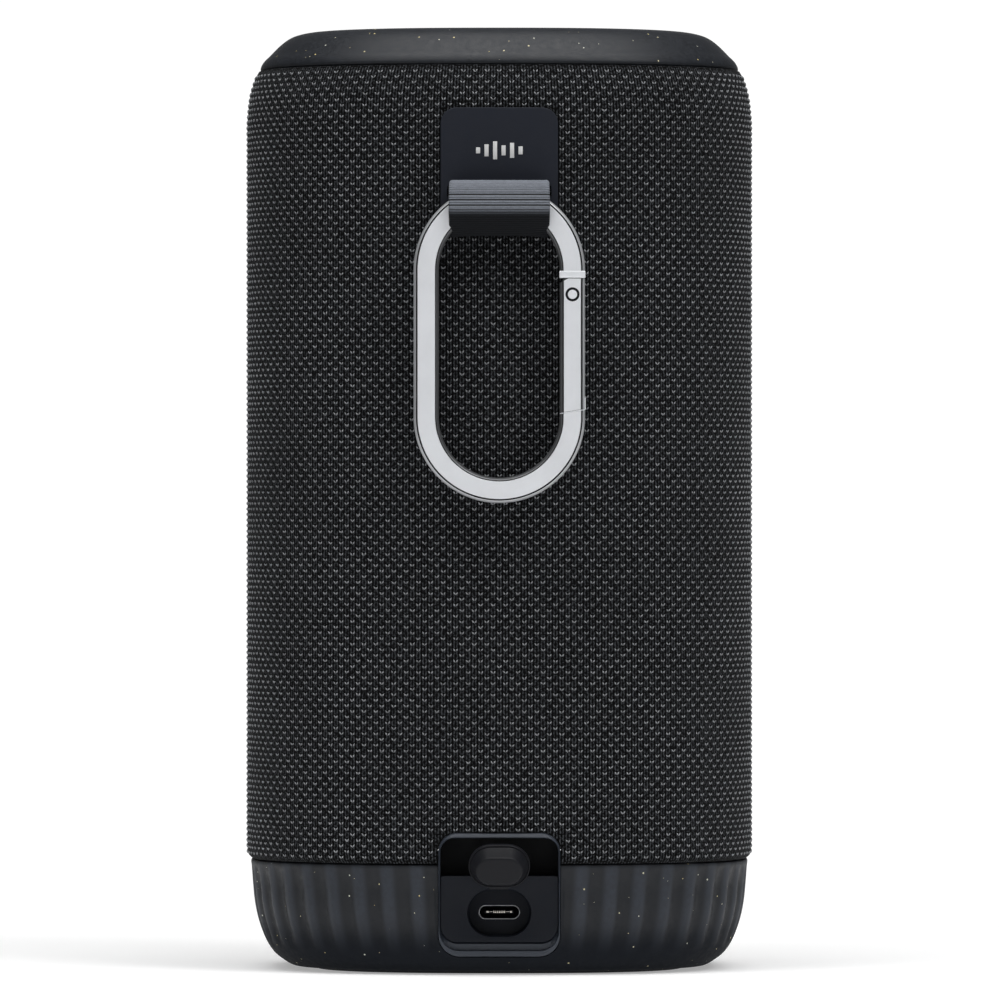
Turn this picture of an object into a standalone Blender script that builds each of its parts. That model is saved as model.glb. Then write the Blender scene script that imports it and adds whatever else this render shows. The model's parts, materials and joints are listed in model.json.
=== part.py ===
"""Portable waterproof shower speaker with a snap hook on a webbing loop and a plugged USB-C port.

Metres, +Z up. The origin is the centre of the foot pad's underside. The back, with the loop and the
port, faces -Y, and the front, with the volume keys, faces +Y.
"""

import math

import bmesh
import bpy
from mathutils import Matrix, Vector

MM = 0.001

# Driving dimensions of the body, in millimetres
HALF_WIDTH = 51.4
HALF_DEPTH = 46.3
DEPTH_STEP = HALF_WIDTH - HALF_DEPTH
SECTION_POWER = 2.6
SECTION_POINTS = 48
BODY_TOP = 190.5
BASE_SEAM = 22.2
FABRIC_LOW, FABRIC_HIGH = 22.8, 182.6
FABRIC_WALL = 1.2
GAP = 0.3

# Acoustic core inside the grille
CORE_HALF = 46.0
CORE_WALL = 2.4
CORE_LOW, CORE_HIGH = 32.2, 168.0
LID_THICKNESS = 2.7
DRIVER_Z = 110.0
DRIVER_FRONT_Y = 37.0
DRIVER_RADIUS = 25.2
RADIATOR_Z = 108.0
RADIATOR_X = 40.0
CORE_SCREW_X, CORE_SCREW_Y = 31.5, 27.8

# Snap hook: a stadium ring in the XZ plane
HOOK_Y = -50.9
HOOK_THICK = 4.3
HOOK_OUTER, HOOK_INNER = 17.1, 12.05
HOOK_ARC_LOW, HOOK_ARC_HIGH = 111.8, 141.2
GATE_PIN_X, GATE_PIN_Z = 14.6, 136.3
GATE_TOP = 139.35
SEAM_IN, SEAM_OUT = 112.4, 113.2
PIN_RADIUS = 1.0
PATCH_HALF, PATCH_LOW, PATCH_HIGH = 11.75, 149.8, 173.8
SLIT_HALF, SLIT_LOW, SLIT_HIGH = 10.6, 155.9, 158.1
LOOP_HALF, LOOP_WALL = 10.0, 1.0
LOOP_BACK_Y, LOOP_FRONT_Y = -47.4, -54.4
LOOP_LOW, LOOP_HIGH = 146.65, 159.65
LOOP_AXIS_Y, LOOP_AXIS_Z = -50.4, 158.0

# Port in the back of the base
PORT_HALF = 12.2
PORT_LOW, PORT_HIGH = 3.7, 28.7
RIM = 1.1
POCKET_LOW, POCKET_HIGH = 20.0, 27.6
POCKET_FLOOR_Y = -40.3
PANEL_LOW = 6.7
PANEL_TOP_Y, PANEL_LOW_Y = -45.0, -42.9
SOCKET_Z = 12.6
SOCKET_HALF_LONG, SOCKET_HALF_TALL = 6.35, 4.75
SOCKET_FLOOR_Y = -39.4
PLUG_HINGE_Y, PLUG_HINGE_Z = -45.5, 17.5
PLUG_LEAN = math.radians(18)

# Keys
TOP_KEY_PITCH = 22.0
TOP_KEY_Y = 6.0
VOLUME_UP_Z, VOLUME_DOWN_Z = 150.0, 70.0
VOLUME_SPAN, VOLUME_BAR = 13.0, 2.8

for old in list(bpy.data.objects):
    bpy.data.objects.remove(old, do_unlink=True)

PARTS = bpy.data.collections.new("shower_speaker")
CUTTERS = bpy.data.collections.new("cutters")
bpy.context.scene.collection.children.link(PARTS)
bpy.context.scene.collection.children.link(CUTTERS)


# ---------------------------------------------------------------- helpers

def material(name, colour, roughness, metallic=0.0):
    made = bpy.data.materials.new(name)
    made.use_nodes = True
    shader = made.node_tree.nodes["Principled BSDF"]
    shader.inputs["Base Color"].default_value = (*colour, 1.0)
    shader.inputs["Roughness"].default_value = roughness
    shader.inputs["Metallic"].default_value = metallic
    return made


def add_part(name, mesh, finish):
    part = bpy.data.objects.new(name, mesh)
    PARTS.objects.link(part)
    mesh.materials.append(material(name, *finish))
    return part


def as_cutter(obj):
    """Moves an object among the cutters, where it is drawn as wires and not built."""
    for home in list(obj.users_collection):
        home.objects.unlink(obj)
    CUTTERS.objects.link(obj)
    obj.hide_render = True
    obj.display_type = "WIRE"
    return obj


def combine(target, other, operation="DIFFERENCE"):
    modifier = target.modifiers.new(f"{operation.lower()} {other.name}", "BOOLEAN")
    modifier.operation = operation
    modifier.solver = "EXACT"
    modifier.object = other


def mesh_from(name, build):
    """A mesh filled by build(bm), in millimetres, with its faces turned out."""
    bm = bmesh.new()
    build(bm)
    bmesh.ops.recalc_face_normals(bm, faces=bm.faces)
    bmesh.ops.scale(bm, vec=(MM, MM, MM), verts=bm.verts)
    mesh = bpy.data.meshes.new(name)
    bm.to_mesh(mesh)
    bm.free()
    return mesh


def section(half_width, z):
    """The body's rounded cross-section at height z, as a ring of points."""
    half_depth = half_width - DEPTH_STEP
    ring = []
    for step in range(SECTION_POINTS):
        angle = 2 * math.pi * step / SECTION_POINTS
        across, along = math.cos(angle), math.sin(angle)
        x = half_width * math.copysign(abs(across) ** (2 / SECTION_POWER), across)
        y = half_depth * math.copysign(abs(along) ** (2 / SECTION_POWER), along)
        ring.append((x, y, z))
    return ring


def wrapped_mesh(name, profile, closed):
    """A profile of (half width, z) carried round the body's section: a ring if closed, else capped."""
    def build(bm):
        rings = [[bm.verts.new(p) for p in section(*station)] for station in profile]
        pairs = list(zip(rings, rings[1:]))
        if closed:
            pairs.append((rings[-1], rings[0]))
        for low, high in pairs:
            for i in range(SECTION_POINTS):
                j = (i + 1) % SECTION_POINTS
                bm.faces.new((low[i], low[j], high[j], high[i]))
        if not closed:
            bm.faces.new(rings[0])
            bm.faces.new(rings[-1])
    return mesh_from(name, build)


def wrapped(name, profile, finish, closed=True):
    return add_part(name, wrapped_mesh(name, profile, closed), finish)


def envelope(name, profile):
    obj = bpy.data.objects.new(name, wrapped_mesh(name, profile, False))
    CUTTERS.objects.link(obj)
    return as_cutter(obj)


def arc(centre, radius, start, end, steps):
    """Points on an arc, angles in degrees."""
    points = []
    for step in range(steps + 1):
        angle = math.radians(start + (end - start) * step / steps)
        points.append((centre[0] + radius * math.cos(angle), centre[1] + radius * math.sin(angle)))
    return points


def rounded_rect(left, right, low, high, radii, steps=4):
    """A rectangle with corner radii in the order right-top, left-top, left-low, right-low."""
    corners = ((right, high, -1, -1), (left, high, 1, -1), (left, low, 1, 1), (right, low, -1, 1))
    points = []
    for turn, ((x, z, dx, dz), radius) in enumerate(zip(corners, radii)):
        points += arc((x + dx * radius, z + dz * radius), radius, 90 * turn, 90 * turn + 90, steps)
    return points


def stadium(half_long, half_short, steps=8, centre=(0.0, 0.0)):
    """A slot with its long side along the first axis."""
    straight = half_long - half_short
    right = arc((centre[0] + straight, centre[1]), half_short, -90, 90, steps)
    left = arc((centre[0] - straight, centre[1]), half_short, 90, 270, steps)
    return right + left


def plus(span, bar):
    return [
        (bar, span), (-bar, span), (-bar, bar), (-span, bar), (-span, -bar), (-bar, -bar),
        (-bar, -span), (bar, -span), (bar, -bar), (span, -bar), (span, bar), (bar, bar),
    ]


def flat(name, outlines, thickness, finish=None):
    """A flat plate in its XY plane, centred in thickness, whose later outlines are holes."""
    curve = bpy.data.curves.new(name, "CURVE")
    curve.dimensions = "2D"
    curve.fill_mode = "BOTH"
    curve.extrude = thickness * MM / 2
    for outline in outlines:
        spline = curve.splines.new("POLY")
        spline.points.add(len(outline) - 1)
        spline.use_cyclic_u = True
        for point, (x, y) in zip(spline.points, outline):
            point.co = (x * MM, y * MM, 0, 1)
    drawn = bpy.data.objects.new(name + "_outline", curve)
    bpy.context.scene.collection.objects.link(drawn)
    graph = bpy.context.evaluated_depsgraph_get()
    mesh = bpy.data.meshes.new_from_object(drawn.evaluated_get(graph))
    mesh.name = name
    bpy.data.objects.remove(drawn)
    bm = bmesh.new()
    bm.from_mesh(mesh)
    bmesh.ops.remove_doubles(bm, verts=bm.verts, dist=1e-6)
    bmesh.ops.recalc_face_normals(bm, faces=bm.faces)
    bm.to_mesh(mesh)
    bm.free()
    mesh.materials.clear()
    if finish is None:
        obj = bpy.data.objects.new(name, mesh)
        CUTTERS.objects.link(obj)
        return as_cutter(obj)
    return add_part(name, mesh, finish)


def stand(obj, front_y, back_y):
    """Turns a flat plate into the XZ plane, between two Y positions, and leaves its origin there."""
    turn = Matrix.Rotation(math.pi / 2, 4, "X")
    obj.data.transform(turn)
    obj.location = (0, (front_y + back_y) / 2 * MM, 0)
    return obj


def origin_at(obj, x, y, z):
    """Puts the object's origin at a point, in millimetres, and leaves its shape where it is."""
    obj.data.transform(obj.matrix_basis)
    obj.matrix_basis = Matrix.Identity(4)
    point = Vector((x * MM, y * MM, z * MM))
    obj.data.transform(Matrix.Translation(-point))
    obj.location = point
    return obj


def box(name, low, high, finish=None):
    size = [b - a for a, b in zip(low, high)]
    middle = [(a + b) / 2 for a, b in zip(low, high)]

    def build(bm):
        bmesh.ops.create_cube(bm, size=1.0)
        bmesh.ops.scale(bm, vec=size, verts=bm.verts)
        bmesh.ops.translate(bm, vec=middle, verts=bm.verts)

    mesh = mesh_from(name, build)
    if finish is None:
        obj = bpy.data.objects.new(name, mesh)
        CUTTERS.objects.link(obj)
        return as_cutter(obj)
    return add_part(name, mesh, finish)


def cylinder(name, radius, length, centre, axis, finish=None, sides=24):
    """A cylinder centred on a point, along X, Y or Z."""
    turns = {"X": Matrix.Rotation(math.pi / 2, 4, "Y"), "Y": Matrix.Rotation(math.pi / 2, 4, "X")}

    def build(bm):
        bmesh.ops.create_cone(
            bm, cap_ends=True, segments=sides, radius1=radius, radius2=radius, depth=length
        )
        if axis in turns:
            bmesh.ops.transform(bm, matrix=turns[axis], verts=bm.verts)
        bmesh.ops.translate(bm, vec=centre, verts=bm.verts)

    mesh = mesh_from(name, build)
    if finish is None:
        obj = bpy.data.objects.new(name, mesh)
        CUTTERS.objects.link(obj)
        return as_cutter(obj)
    return add_part(name, mesh, finish)


def turned(name, profile, finish, steps=24, closed=False):
    """A profile of (radius, z) turned round Z, running down the outer side."""
    mesh = bpy.data.meshes.new(name)
    points = [(radius * MM, 0, z * MM) for radius, z in profile]
    edges = [(i, i + 1) for i in range(len(points) - 1)]
    if closed:
        edges.append((len(points) - 1, 0))
    mesh.from_pydata(points, edges, [])
    obj = add_part(name, mesh, finish)
    screw = obj.modifiers.new("turn", "SCREW")
    screw.steps = steps
    screw.render_steps = steps
    screw.use_merge_vertices = True
    screw.merge_threshold = 0.00002
    screw.use_smooth_shade = True
    return obj


# ---------------------------------------------------------------- finishes

SHELL_PLASTIC = ((0.026, 0.029, 0.033), 0.55)
FABRIC_BLACK = ((0.012, 0.013, 0.014), 0.95)
PATCH_RUBBER = ((0.015, 0.017, 0.023), 0.6)
WEBBING_GREY = ((0.06, 0.062, 0.068), 0.85)
HOOK_METAL = ((0.66, 0.68, 0.7), 0.3, 1.0)
STEEL = ((0.5, 0.5, 0.5), 0.35, 1.0)
PORT_PLASTIC = ((0.013, 0.014, 0.018), 0.5)
RUBBER = ((0.02, 0.02, 0.024), 0.6)
INNER_PLASTIC = ((0.05, 0.05, 0.055), 0.6)
BOARD_GREEN = ((0.01, 0.09, 0.04), 0.5)
CONE_PAPER = ((0.03, 0.03, 0.03), 0.8)
CELL_WRAP = ((0.02, 0.08, 0.25), 0.4)


# ---------------------------------------------------------------- outer casing

def make_base():
    base = wrapped("base_cup", [
        (38.5, 1.9), (38.5, 0.6), (41.6, 0.6), (42.9, 0.9), (44.9, 2.3), (46.8, 4.5), (48.5, 8.0),
        (49.7, 12.0), (50.3, 16.5), (50.6, BASE_SEAM), (47.8, BASE_SEAM), (46.9, 12.0), (44.6, 6.0),
        (41.0, 3.3),
    ], SHELL_PLASTIC, closed=False)
    combine(base, port_opening())
    wrapped("foot_pad", [
        (37.6, 0.0), (38.2, 0.5), (38.2, 1.6),
    ], RUBBER, closed=False)


def make_top_cap():
    cap = wrapped("top_cap", [
        (44.1, 174.5), (46.5, 174.5), (46.5, 182.7), (48.7, 183.0), (48.2, 184.1), (46.9, 185.8),
        (45.1, 187.7), (42.7, 189.3), (39.5, 190.2), (35.5, BODY_TOP),
    ], SHELL_PLASTIC, closed=False)
    hollow = envelope("cap_hollow", [(44.1, 170.0), (44.1, 184.2), (41.5, 187.0), (34.0, 188.1)])
    combine(cap, hollow)
    for name, x in top_key_places():
        combine(cap, cylinder(f"{name}_hole", 6.4, 12, (x, TOP_KEY_Y, 190), "Z", sides=20))


def port_opening():
    found = bpy.data.objects.get("port_opening")
    if found:
        return found
    wide = PORT_HALF + GAP
    outline = rounded_rect(-wide, wide, PORT_LOW - GAP, PORT_HIGH + GAP, (4.1, 4.1, 4.6, 4.6))
    return stand(flat("port_opening", [outline], 24), -62, -38)


def volume_opening(name, outline, z):
    return place_front(flat(name, [outline], 20), z)


def place_front(obj, z):
    """Stands a plate up in the front wall at height z."""
    stand(obj, HALF_DEPTH - 5, HALF_DEPTH + 5)
    obj.location.z = z * MM
    return obj


def make_fabric_and_grille():
    wall = FABRIC_WALL
    sleeve = wrapped("fabric_sleeve", [
        (50.9, FABRIC_LOW), (HALF_WIDTH, 24.2), (HALF_WIDTH, 171.0), (50.8, 177.9),
        (49.8, 181.1), (49.0, FABRIC_HIGH), (48.1, FABRIC_HIGH - 0.3), (48.7, 180.4),
        (49.7, 177.3), (HALF_WIDTH - wall, 171.0), (HALF_WIDTH - wall, FABRIC_LOW),
    ], FABRIC_BLACK)
    outer = HALF_WIDTH - wall - GAP
    grille = wrapped("grille_tube", [
        (outer, 24.0), (outer, 170.0), (48.8, 177.0), (47.0, 177.0), (outer - 1.8, 169.5),
        (outer - 1.8, 24.0),
    ], INNER_PLASTIC)
    for part in (sleeve, grille):
        combine(part, port_opening())
    span, bar = VOLUME_SPAN + 0.4, VOLUME_BAR + 0.4
    up = volume_opening("volume_up_hole", plus(span, bar), VOLUME_UP_Z)
    down = volume_opening("volume_down_hole", rounded_rect(-span, span, -bar, bar, [0.6] * 4, 1),
                          VOLUME_DOWN_Z)
    for part in (sleeve, grille):
        combine(part, up)
        combine(part, down)
    slot = stadium(22.0, 2.4, 3)
    for side in ("front_back", "left_right"):
        for place in (-18.0, -9.0, 0.0, 9.0, 18.0):
            window = flat(f"window_{side}_{place:.0f}", [slot], 140)
            window.rotation_euler = (0, math.pi / 2, 0)
            if side == "front_back":
                window.rotation_euler = (0, math.pi / 2, math.pi / 2)
                window.location = (place * MM, 0, DRIVER_Z * MM)
            else:
                window.location = (0, place * MM, RADIATOR_Z * MM)
            combine(grille, window)


def make_volume_keys():
    skin = envelope("key_face", [(HALF_WIDTH + 0.9, 40), (HALF_WIDTH + 0.9, 175)])
    back = envelope("key_back", [(HALF_WIDTH - 2.6, 30), (HALF_WIDTH - 2.6, 185)])
    bar = rounded_rect(-VOLUME_SPAN, VOLUME_SPAN, -VOLUME_BAR, VOLUME_BAR, [0.5] * 4, 1)
    shapes = (
        ("volume_up_key", plus(VOLUME_SPAN, VOLUME_BAR), VOLUME_UP_Z),
        ("volume_down_key", bar, VOLUME_DOWN_Z),
    )
    for name, outline, z in shapes:
        key = place_front(flat(name, [outline], 10, RUBBER), z)
        combine(key, skin, "INTERSECT")
        combine(key, back)


# ---------------------------------------------------------------- keys on top

def top_key_places():
    names = ("pairing_key", "power_key", "boost_key")
    return [(name, (i - 1) * TOP_KEY_PITCH) for i, name in enumerate(names)]


def make_top_keys():
    top = BODY_TOP - 0.15
    profile = [
        (0, top), (5.5, top), (6.0, top - 0.5), (6.0, 187.6), (7.3, 187.6), (7.3, 186.6),
        (1.5, 186.6), (1.5, 185.2), (0, 185.2),
    ]
    box("key_board", (-32, -2, 181.0), (32, 14, 182.4), BOARD_GREEN)
    for name, x in top_key_places():
        centred = [(radius, z - 187.6) for radius, z in profile]
        key = turned(name, centred, RUBBER, 20)
        key.location = (x * MM, TOP_KEY_Y * MM, 187.6 * MM)
        box(name.replace("key", "switch"), (x - 2.6, TOP_KEY_Y - 2.6, 182.7),
            (x + 2.6, TOP_KEY_Y + 2.6, 184.3), STEEL)


# ---------------------------------------------------------------- acoustic core

def make_core():
    core = wrapped("acoustic_core", [
        (CORE_HALF, CORE_LOW), (CORE_HALF, CORE_HIGH), (CORE_HALF - CORE_WALL, CORE_HIGH),
        (CORE_HALF - CORE_WALL, CORE_LOW),
    ], INNER_PLASTIC)
    driver_hole = cylinder("driver_holes", DRIVER_RADIUS + GAP, 120, (0, 0, DRIVER_Z), "Y")
    combine(core, driver_hole)
    radiator_hole = flat("radiator_holes", [stadium(33.3, 23.3, 8)], 120)
    radiator_hole.rotation_euler = (0, math.pi / 2, 0)
    radiator_hole.location = (0, 0, RADIATOR_Z * MM)
    combine(core, radiator_hole)
    for low, high, lid_name in (
        (CORE_LOW - GAP - LID_THICKNESS, CORE_LOW - GAP, "core_floor"),
        (CORE_HIGH + GAP, CORE_HIGH + GAP + LID_THICKNESS, "core_lid"),
    ):
        lid = wrapped(lid_name, [(CORE_HALF, low), (CORE_HALF, high)], INNER_PLASTIC, False)
        at_top = lid_name == "core_lid"
        inner = high - LID_THICKNESS if at_top else low + LID_THICKNESS
        way = 1 if at_top else -1
        for number, (x, y) in enumerate(screw_places(), 1):
            fit_screw(core, lid, lid_name, number, x, y, inner, way)


def screw_places():
    return [(sx * CORE_SCREW_X, sy * CORE_SCREW_Y) for sx in (-1, 1) for sy in (-1, 1)]


def fit_screw(core, lid, lid_name, number, x, y, inner, way):
    """One boss in the core, its holes, and its screw, whose head lies on the outer face of the lid."""
    tag = f"{lid_name}_{number}"
    boss_middle = inner - way * (GAP + 5.0)
    boss = cylinder(f"boss_{tag}", 3.4, 10.0, (x, y, boss_middle), "Z", sides=12)
    combine(core, boss, "UNION")
    hole = cylinder(f"pilot_{tag}", 1.5, 16.0, (x, y, inner), "Z", sides=10)
    combine(core, hole)
    combine(lid, hole)
    head = LID_THICKNESS + GAP
    profile = [(0, head + 1.6), (2.6, head + 1.6), (2.6, head), (1.2, head), (1.2, -6.0), (0, -6.0)]
    screw = turned(f"{lid_name}_screw_{number}", profile, STEEL, 10)
    screw.location = (x * MM, y * MM, inner * MM)
    if way < 0:
        screw.rotation_euler = (math.pi, 0, 0)


def make_drivers():
    frame = [
        (DRIVER_RADIUS, 0), (DRIVER_RADIUS, -2.0), (22.8, -2.0), (22.8, -4.6), (15.0, -12.5),
        (15.0, -14.5), (6.5, -14.5), (6.5, -13.3), (13.8, -13.3), (13.8, -12.1), (21.6, -4.2),
        (21.6, 0),
    ]
    roll = arc((22.9, 0.3), 2.0, 180, 0, 5) + arc((22.9, 0.3), 1.4, 0, 180, 4)
    cone = [
        (0, -4.4), (3.8, -5.0), (6.8, -7.0), (20.4, -0.2), (20.6, -1.2), (6.1, -9.4), (5.9, -13.0),
        (5.1, -13.0), (5.1, -8.6), (0, -6.6),
    ]
    for side, way in (("front", 1), ("rear", -1)):
        turn = (-way * math.pi / 2, 0, 0)
        place = (0, way * DRIVER_FRONT_Y * MM, DRIVER_Z * MM)
        pieces = [
            turned(f"driver_{side}_basket", frame, STEEL, 24, True),
            turned(f"driver_{side}_surround", roll, RUBBER, 24, True),
            turned(f"driver_{side}_cone", cone, CONE_PAPER, 24),
        ]
        for piece in pieces:
            piece.rotation_euler = turn
            piece.location = place
        middle = way * (DRIVER_FRONT_Y - 20.0)
        cylinder(f"driver_{side}_magnet", 15.5, 9.0, (0, middle, DRIVER_Z), "Y", STEEL, 24)


def make_radiators():
    rings = (
        ("frame", [stadium(33, 23), stadium(29, 19)], 3.0, INNER_PLASTIC),
        ("surround", [stadium(28.7, 18.7), stadium(24.6, 14.6)], 1.2, RUBBER),
        ("plate", [stadium(24.3, 14.3)], 2.4, STEEL),
    )
    for side, way in (("left", -1), ("right", 1)):
        for kind, outlines, thickness, finish in rings:
            piece = flat(f"radiator_{side}_{kind}", outlines, thickness, finish)
            piece.rotation_euler = (0, math.pi / 2, 0)
            piece.location = (way * RADIATOR_X * MM, 0, RADIATOR_Z * MM)


def make_electronics():
    holder = box("battery_holder", (-35.5, -23, 37), (35.5, 23, 58), INNER_PLASTIC)
    for number, y in enumerate((-11.2, 11.2), 1):
        combine(holder, cylinder(f"cell_space_{number}", 9.6, 66.2, (0, y, 50.5), "X"))
        cylinder(f"battery_cell_{number}", 9.2, 65.0, (0, y, 50.5), "X", CELL_WRAP, 20)
    box("main_board", (-34, -26, 25.2), (34, 32, 26.8), BOARD_GREEN)
    box("port_board", (-11, -38.0, 8.9), (11, -20, 10.5), BOARD_GREEN)


# ---------------------------------------------------------------- back: patch, loop and snap hook

def make_patch():
    outline = rounded_rect(-PATCH_HALF, PATCH_HALF, PATCH_LOW, PATCH_HIGH, (3.2, 3.2, 1.5, 1.5))
    patch = stand(flat("rear_patch", [outline], 10, PATCH_RUBBER), -50, -40)
    combine(patch, envelope("patch_face", [(HALF_WIDTH + 0.8, 140), (HALF_WIDTH + 0.8, 185)]),
            "INTERSECT")
    combine(patch, envelope("patch_back", [(HALF_WIDTH + GAP, 130), (HALF_WIDTH + GAP, 190)]))
    combine(patch, box("strap_slit", (-SLIT_HALF, -60, SLIT_LOW), (SLIT_HALF, -40, SLIT_HIGH)))
    box("strap_anchor", (-LOOP_HALF, -47.15, 156.4), (LOOP_HALF, -46.6, 157.6), WEBBING_GREY)


def hook_sweep(name, path, cyclic, finish):
    """The hook's flat-faced bar swept along a path of (x, z) points."""
    half_wide, half_thick, shoulder = (HOOK_OUTER - HOOK_INNER) / 2, HOOK_THICK / 2, 0.85
    outline = rounded_rect(-half_wide, half_wide, -half_thick, half_thick, [shoulder] * 4, 2)
    profile_curve = bpy.data.curves.new(name + "_profile", "CURVE")
    profile_curve.dimensions = "2D"
    draw_poly(profile_curve, [(x, y, 0) for x, y in outline], True)
    profile = bpy.data.objects.new(name + "_profile", profile_curve)
    CUTTERS.objects.link(profile)
    curve = bpy.data.curves.new(name, "CURVE")
    curve.dimensions = "2D"
    curve.bevel_mode = "OBJECT"
    curve.bevel_object = profile
    curve.use_fill_caps = True
    draw_poly(curve, [(x, z, 0) for x, z in path], cyclic)
    drawn = bpy.data.objects.new(name + "_path", curve)
    bpy.context.scene.collection.objects.link(drawn)
    graph = bpy.context.evaluated_depsgraph_get()
    mesh = bpy.data.meshes.new_from_object(drawn.evaluated_get(graph))
    mesh.name = name
    bm = bmesh.new()
    bm.from_mesh(mesh)
    bmesh.ops.remove_doubles(bm, verts=bm.verts, dist=1e-6)
    bmesh.ops.transform(bm, matrix=Matrix.Rotation(math.pi / 2, 4, "X"), verts=bm.verts)
    bmesh.ops.recalc_face_normals(bm, faces=bm.faces)
    bm.to_mesh(mesh)
    bm.free()
    mesh.materials.clear()
    bpy.data.objects.remove(drawn)
    bpy.data.objects.remove(profile)
    part = add_part(name, mesh, finish)
    part.location = (0, HOOK_Y * MM, 0)
    return part


def draw_poly(curve, points, cyclic):
    spline = curve.splines.new("POLY")
    spline.points.add(len(points) - 1)
    spline.use_cyclic_u = cyclic
    for point, place in zip(spline.points, points):
        point.co = (*(value * MM for value in place), 1)


def upright_prism(name, outline, half_thick):
    """A cutter or plate drawn in XZ and centred on the hook's plane."""
    return stand(flat(name, [outline], 2 * half_thick), HOOK_Y - half_thick, HOOK_Y + half_thick)


def make_hook():
    middle = (HOOK_OUTER + HOOK_INNER) / 2
    path = arc((0, HOOK_ARC_HIGH), middle, 0, 180, 16) + arc((0, HOOK_ARC_LOW), middle, 180, 360, 16)
    frame = hook_sweep("carabiner_frame", path, True, HOOK_METAL)
    inside, outside = HOOK_INNER - 1, HOOK_OUTER + 1
    slope = (SEAM_OUT - SEAM_IN) / (HOOK_OUTER - HOOK_INNER)
    seam = [(x, SEAM_IN + slope * (x - HOOK_INNER)) for x in (inside, outside)]
    gate_room = [seam[0], seam[1], (outside, GATE_TOP + GAP), (inside, GATE_TOP + GAP)]
    combine(frame, upright_prism("gate_room", gate_room, 6))
    pin = (GATE_PIN_X, GATE_PIN_Z)
    tongue = arc(pin, 1.95, 180, 360, 8) + [(pin[0] + 1.95, 141.0), (pin[0] - 1.95, 141.0)]
    combine(frame, upright_prism("hook_tongue", tongue, 0.8), "UNION")
    pin_bore = cylinder("pin_bore", 1.3, 20, (pin[0], HOOK_Y, pin[1]), "Y", sides=16)
    combine(frame, pin_bore)
    origin_at(frame, 0, LOOP_AXIS_Y, LOOP_AXIS_Z)

    gate = hook_sweep("carabiner_gate", [(middle, GATE_TOP), (middle, 110.0)], False, HOOK_METAL)
    below = [(inside, 108), (outside, 108), (outside, seam[1][1] + GAP), (inside, seam[0][1] + GAP)]
    combine(gate, upright_prism("gate_end", below, 6))
    combine(gate, box("gate_fork", (inside, HOOK_Y - 1.1, 134.0), (outside, HOOK_Y + 1.1, 141)))
    corner = GATE_TOP - 1.5
    for name, x, way in (("in", HOOK_INNER, 1), ("out", HOOK_OUTER, -1)):
        rounding = [(x - way, corner - 0.1)] + [
            (x + way * (1.5 - px), corner + pz) for px, pz in arc((0, 0), 1.5, 0, 90, 4)
        ] + [(x + way * 1.5, 142), (x - way, 142)]
        combine(gate, upright_prism(f"gate_round_{name}", rounding, 6))
    combine(gate, pin_bore)
    combine(gate, cylinder("spring_hole", 0.8, 12.5, (pin[0], HOOK_Y, 128.2), "Z", sides=10))
    origin_at(gate, GATE_PIN_X, HOOK_Y, GATE_PIN_Z)

    face = HOOK_THICK / 2
    rivet = turned("gate_pin", [
        (0, face), (PIN_RADIUS, face), (PIN_RADIUS, -face), (0, -face),
    ], STEEL, 14)
    rivet.rotation_euler = (math.pi / 2, 0, 0)
    rivet.location = (GATE_PIN_X * MM, HOOK_Y * MM, GATE_PIN_Z * MM)

    wire = bpy.data.curves.new("gate_spring", "CURVE")
    wire.dimensions = "3D"
    wire.bevel_depth = 0.35 * MM
    wire.bevel_resolution = 1
    wire.use_fill_caps = True
    places = [(pin[0], HOOK_Y, 133.9), (pin[0] - 0.15, HOOK_Y, 128.0), (pin[0], HOOK_Y, 122.4)]
    draw_poly(wire, places, False)
    spring = bpy.data.objects.new("gate_spring", wire)
    wire.materials.append(material("gate_spring", *STEEL))
    PARTS.objects.link(spring)


def make_loop():
    """Webbing band round the hook's top arc, drawn in the YZ plane and as wide as the strap."""
    back, front = -LOOP_BACK_Y, -LOOP_FRONT_Y
    outer = rounded_rect(back, front, LOOP_LOW, LOOP_HIGH, (2.9, 1.3, 1.6, 2.6), 5)
    inner = rounded_rect(
        back + LOOP_WALL, front - LOOP_WALL, LOOP_LOW + LOOP_WALL, LOOP_HIGH - LOOP_WALL,
        (1.9, 0.5, 0.7, 1.6), 5,
    )
    loop = flat("webbing_loop", [outer, inner], 2 * LOOP_HALF, WEBBING_GREY)
    turn = Matrix(((0, 0, -1, 0), (-1, 0, 0, 0), (0, 1, 0, 0), (0, 0, 0, 1)))
    loop.data.transform(turn)
    origin_at(loop, 0, LOOP_AXIS_Y, LOOP_AXIS_Z)


# ---------------------------------------------------------------- port

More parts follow.
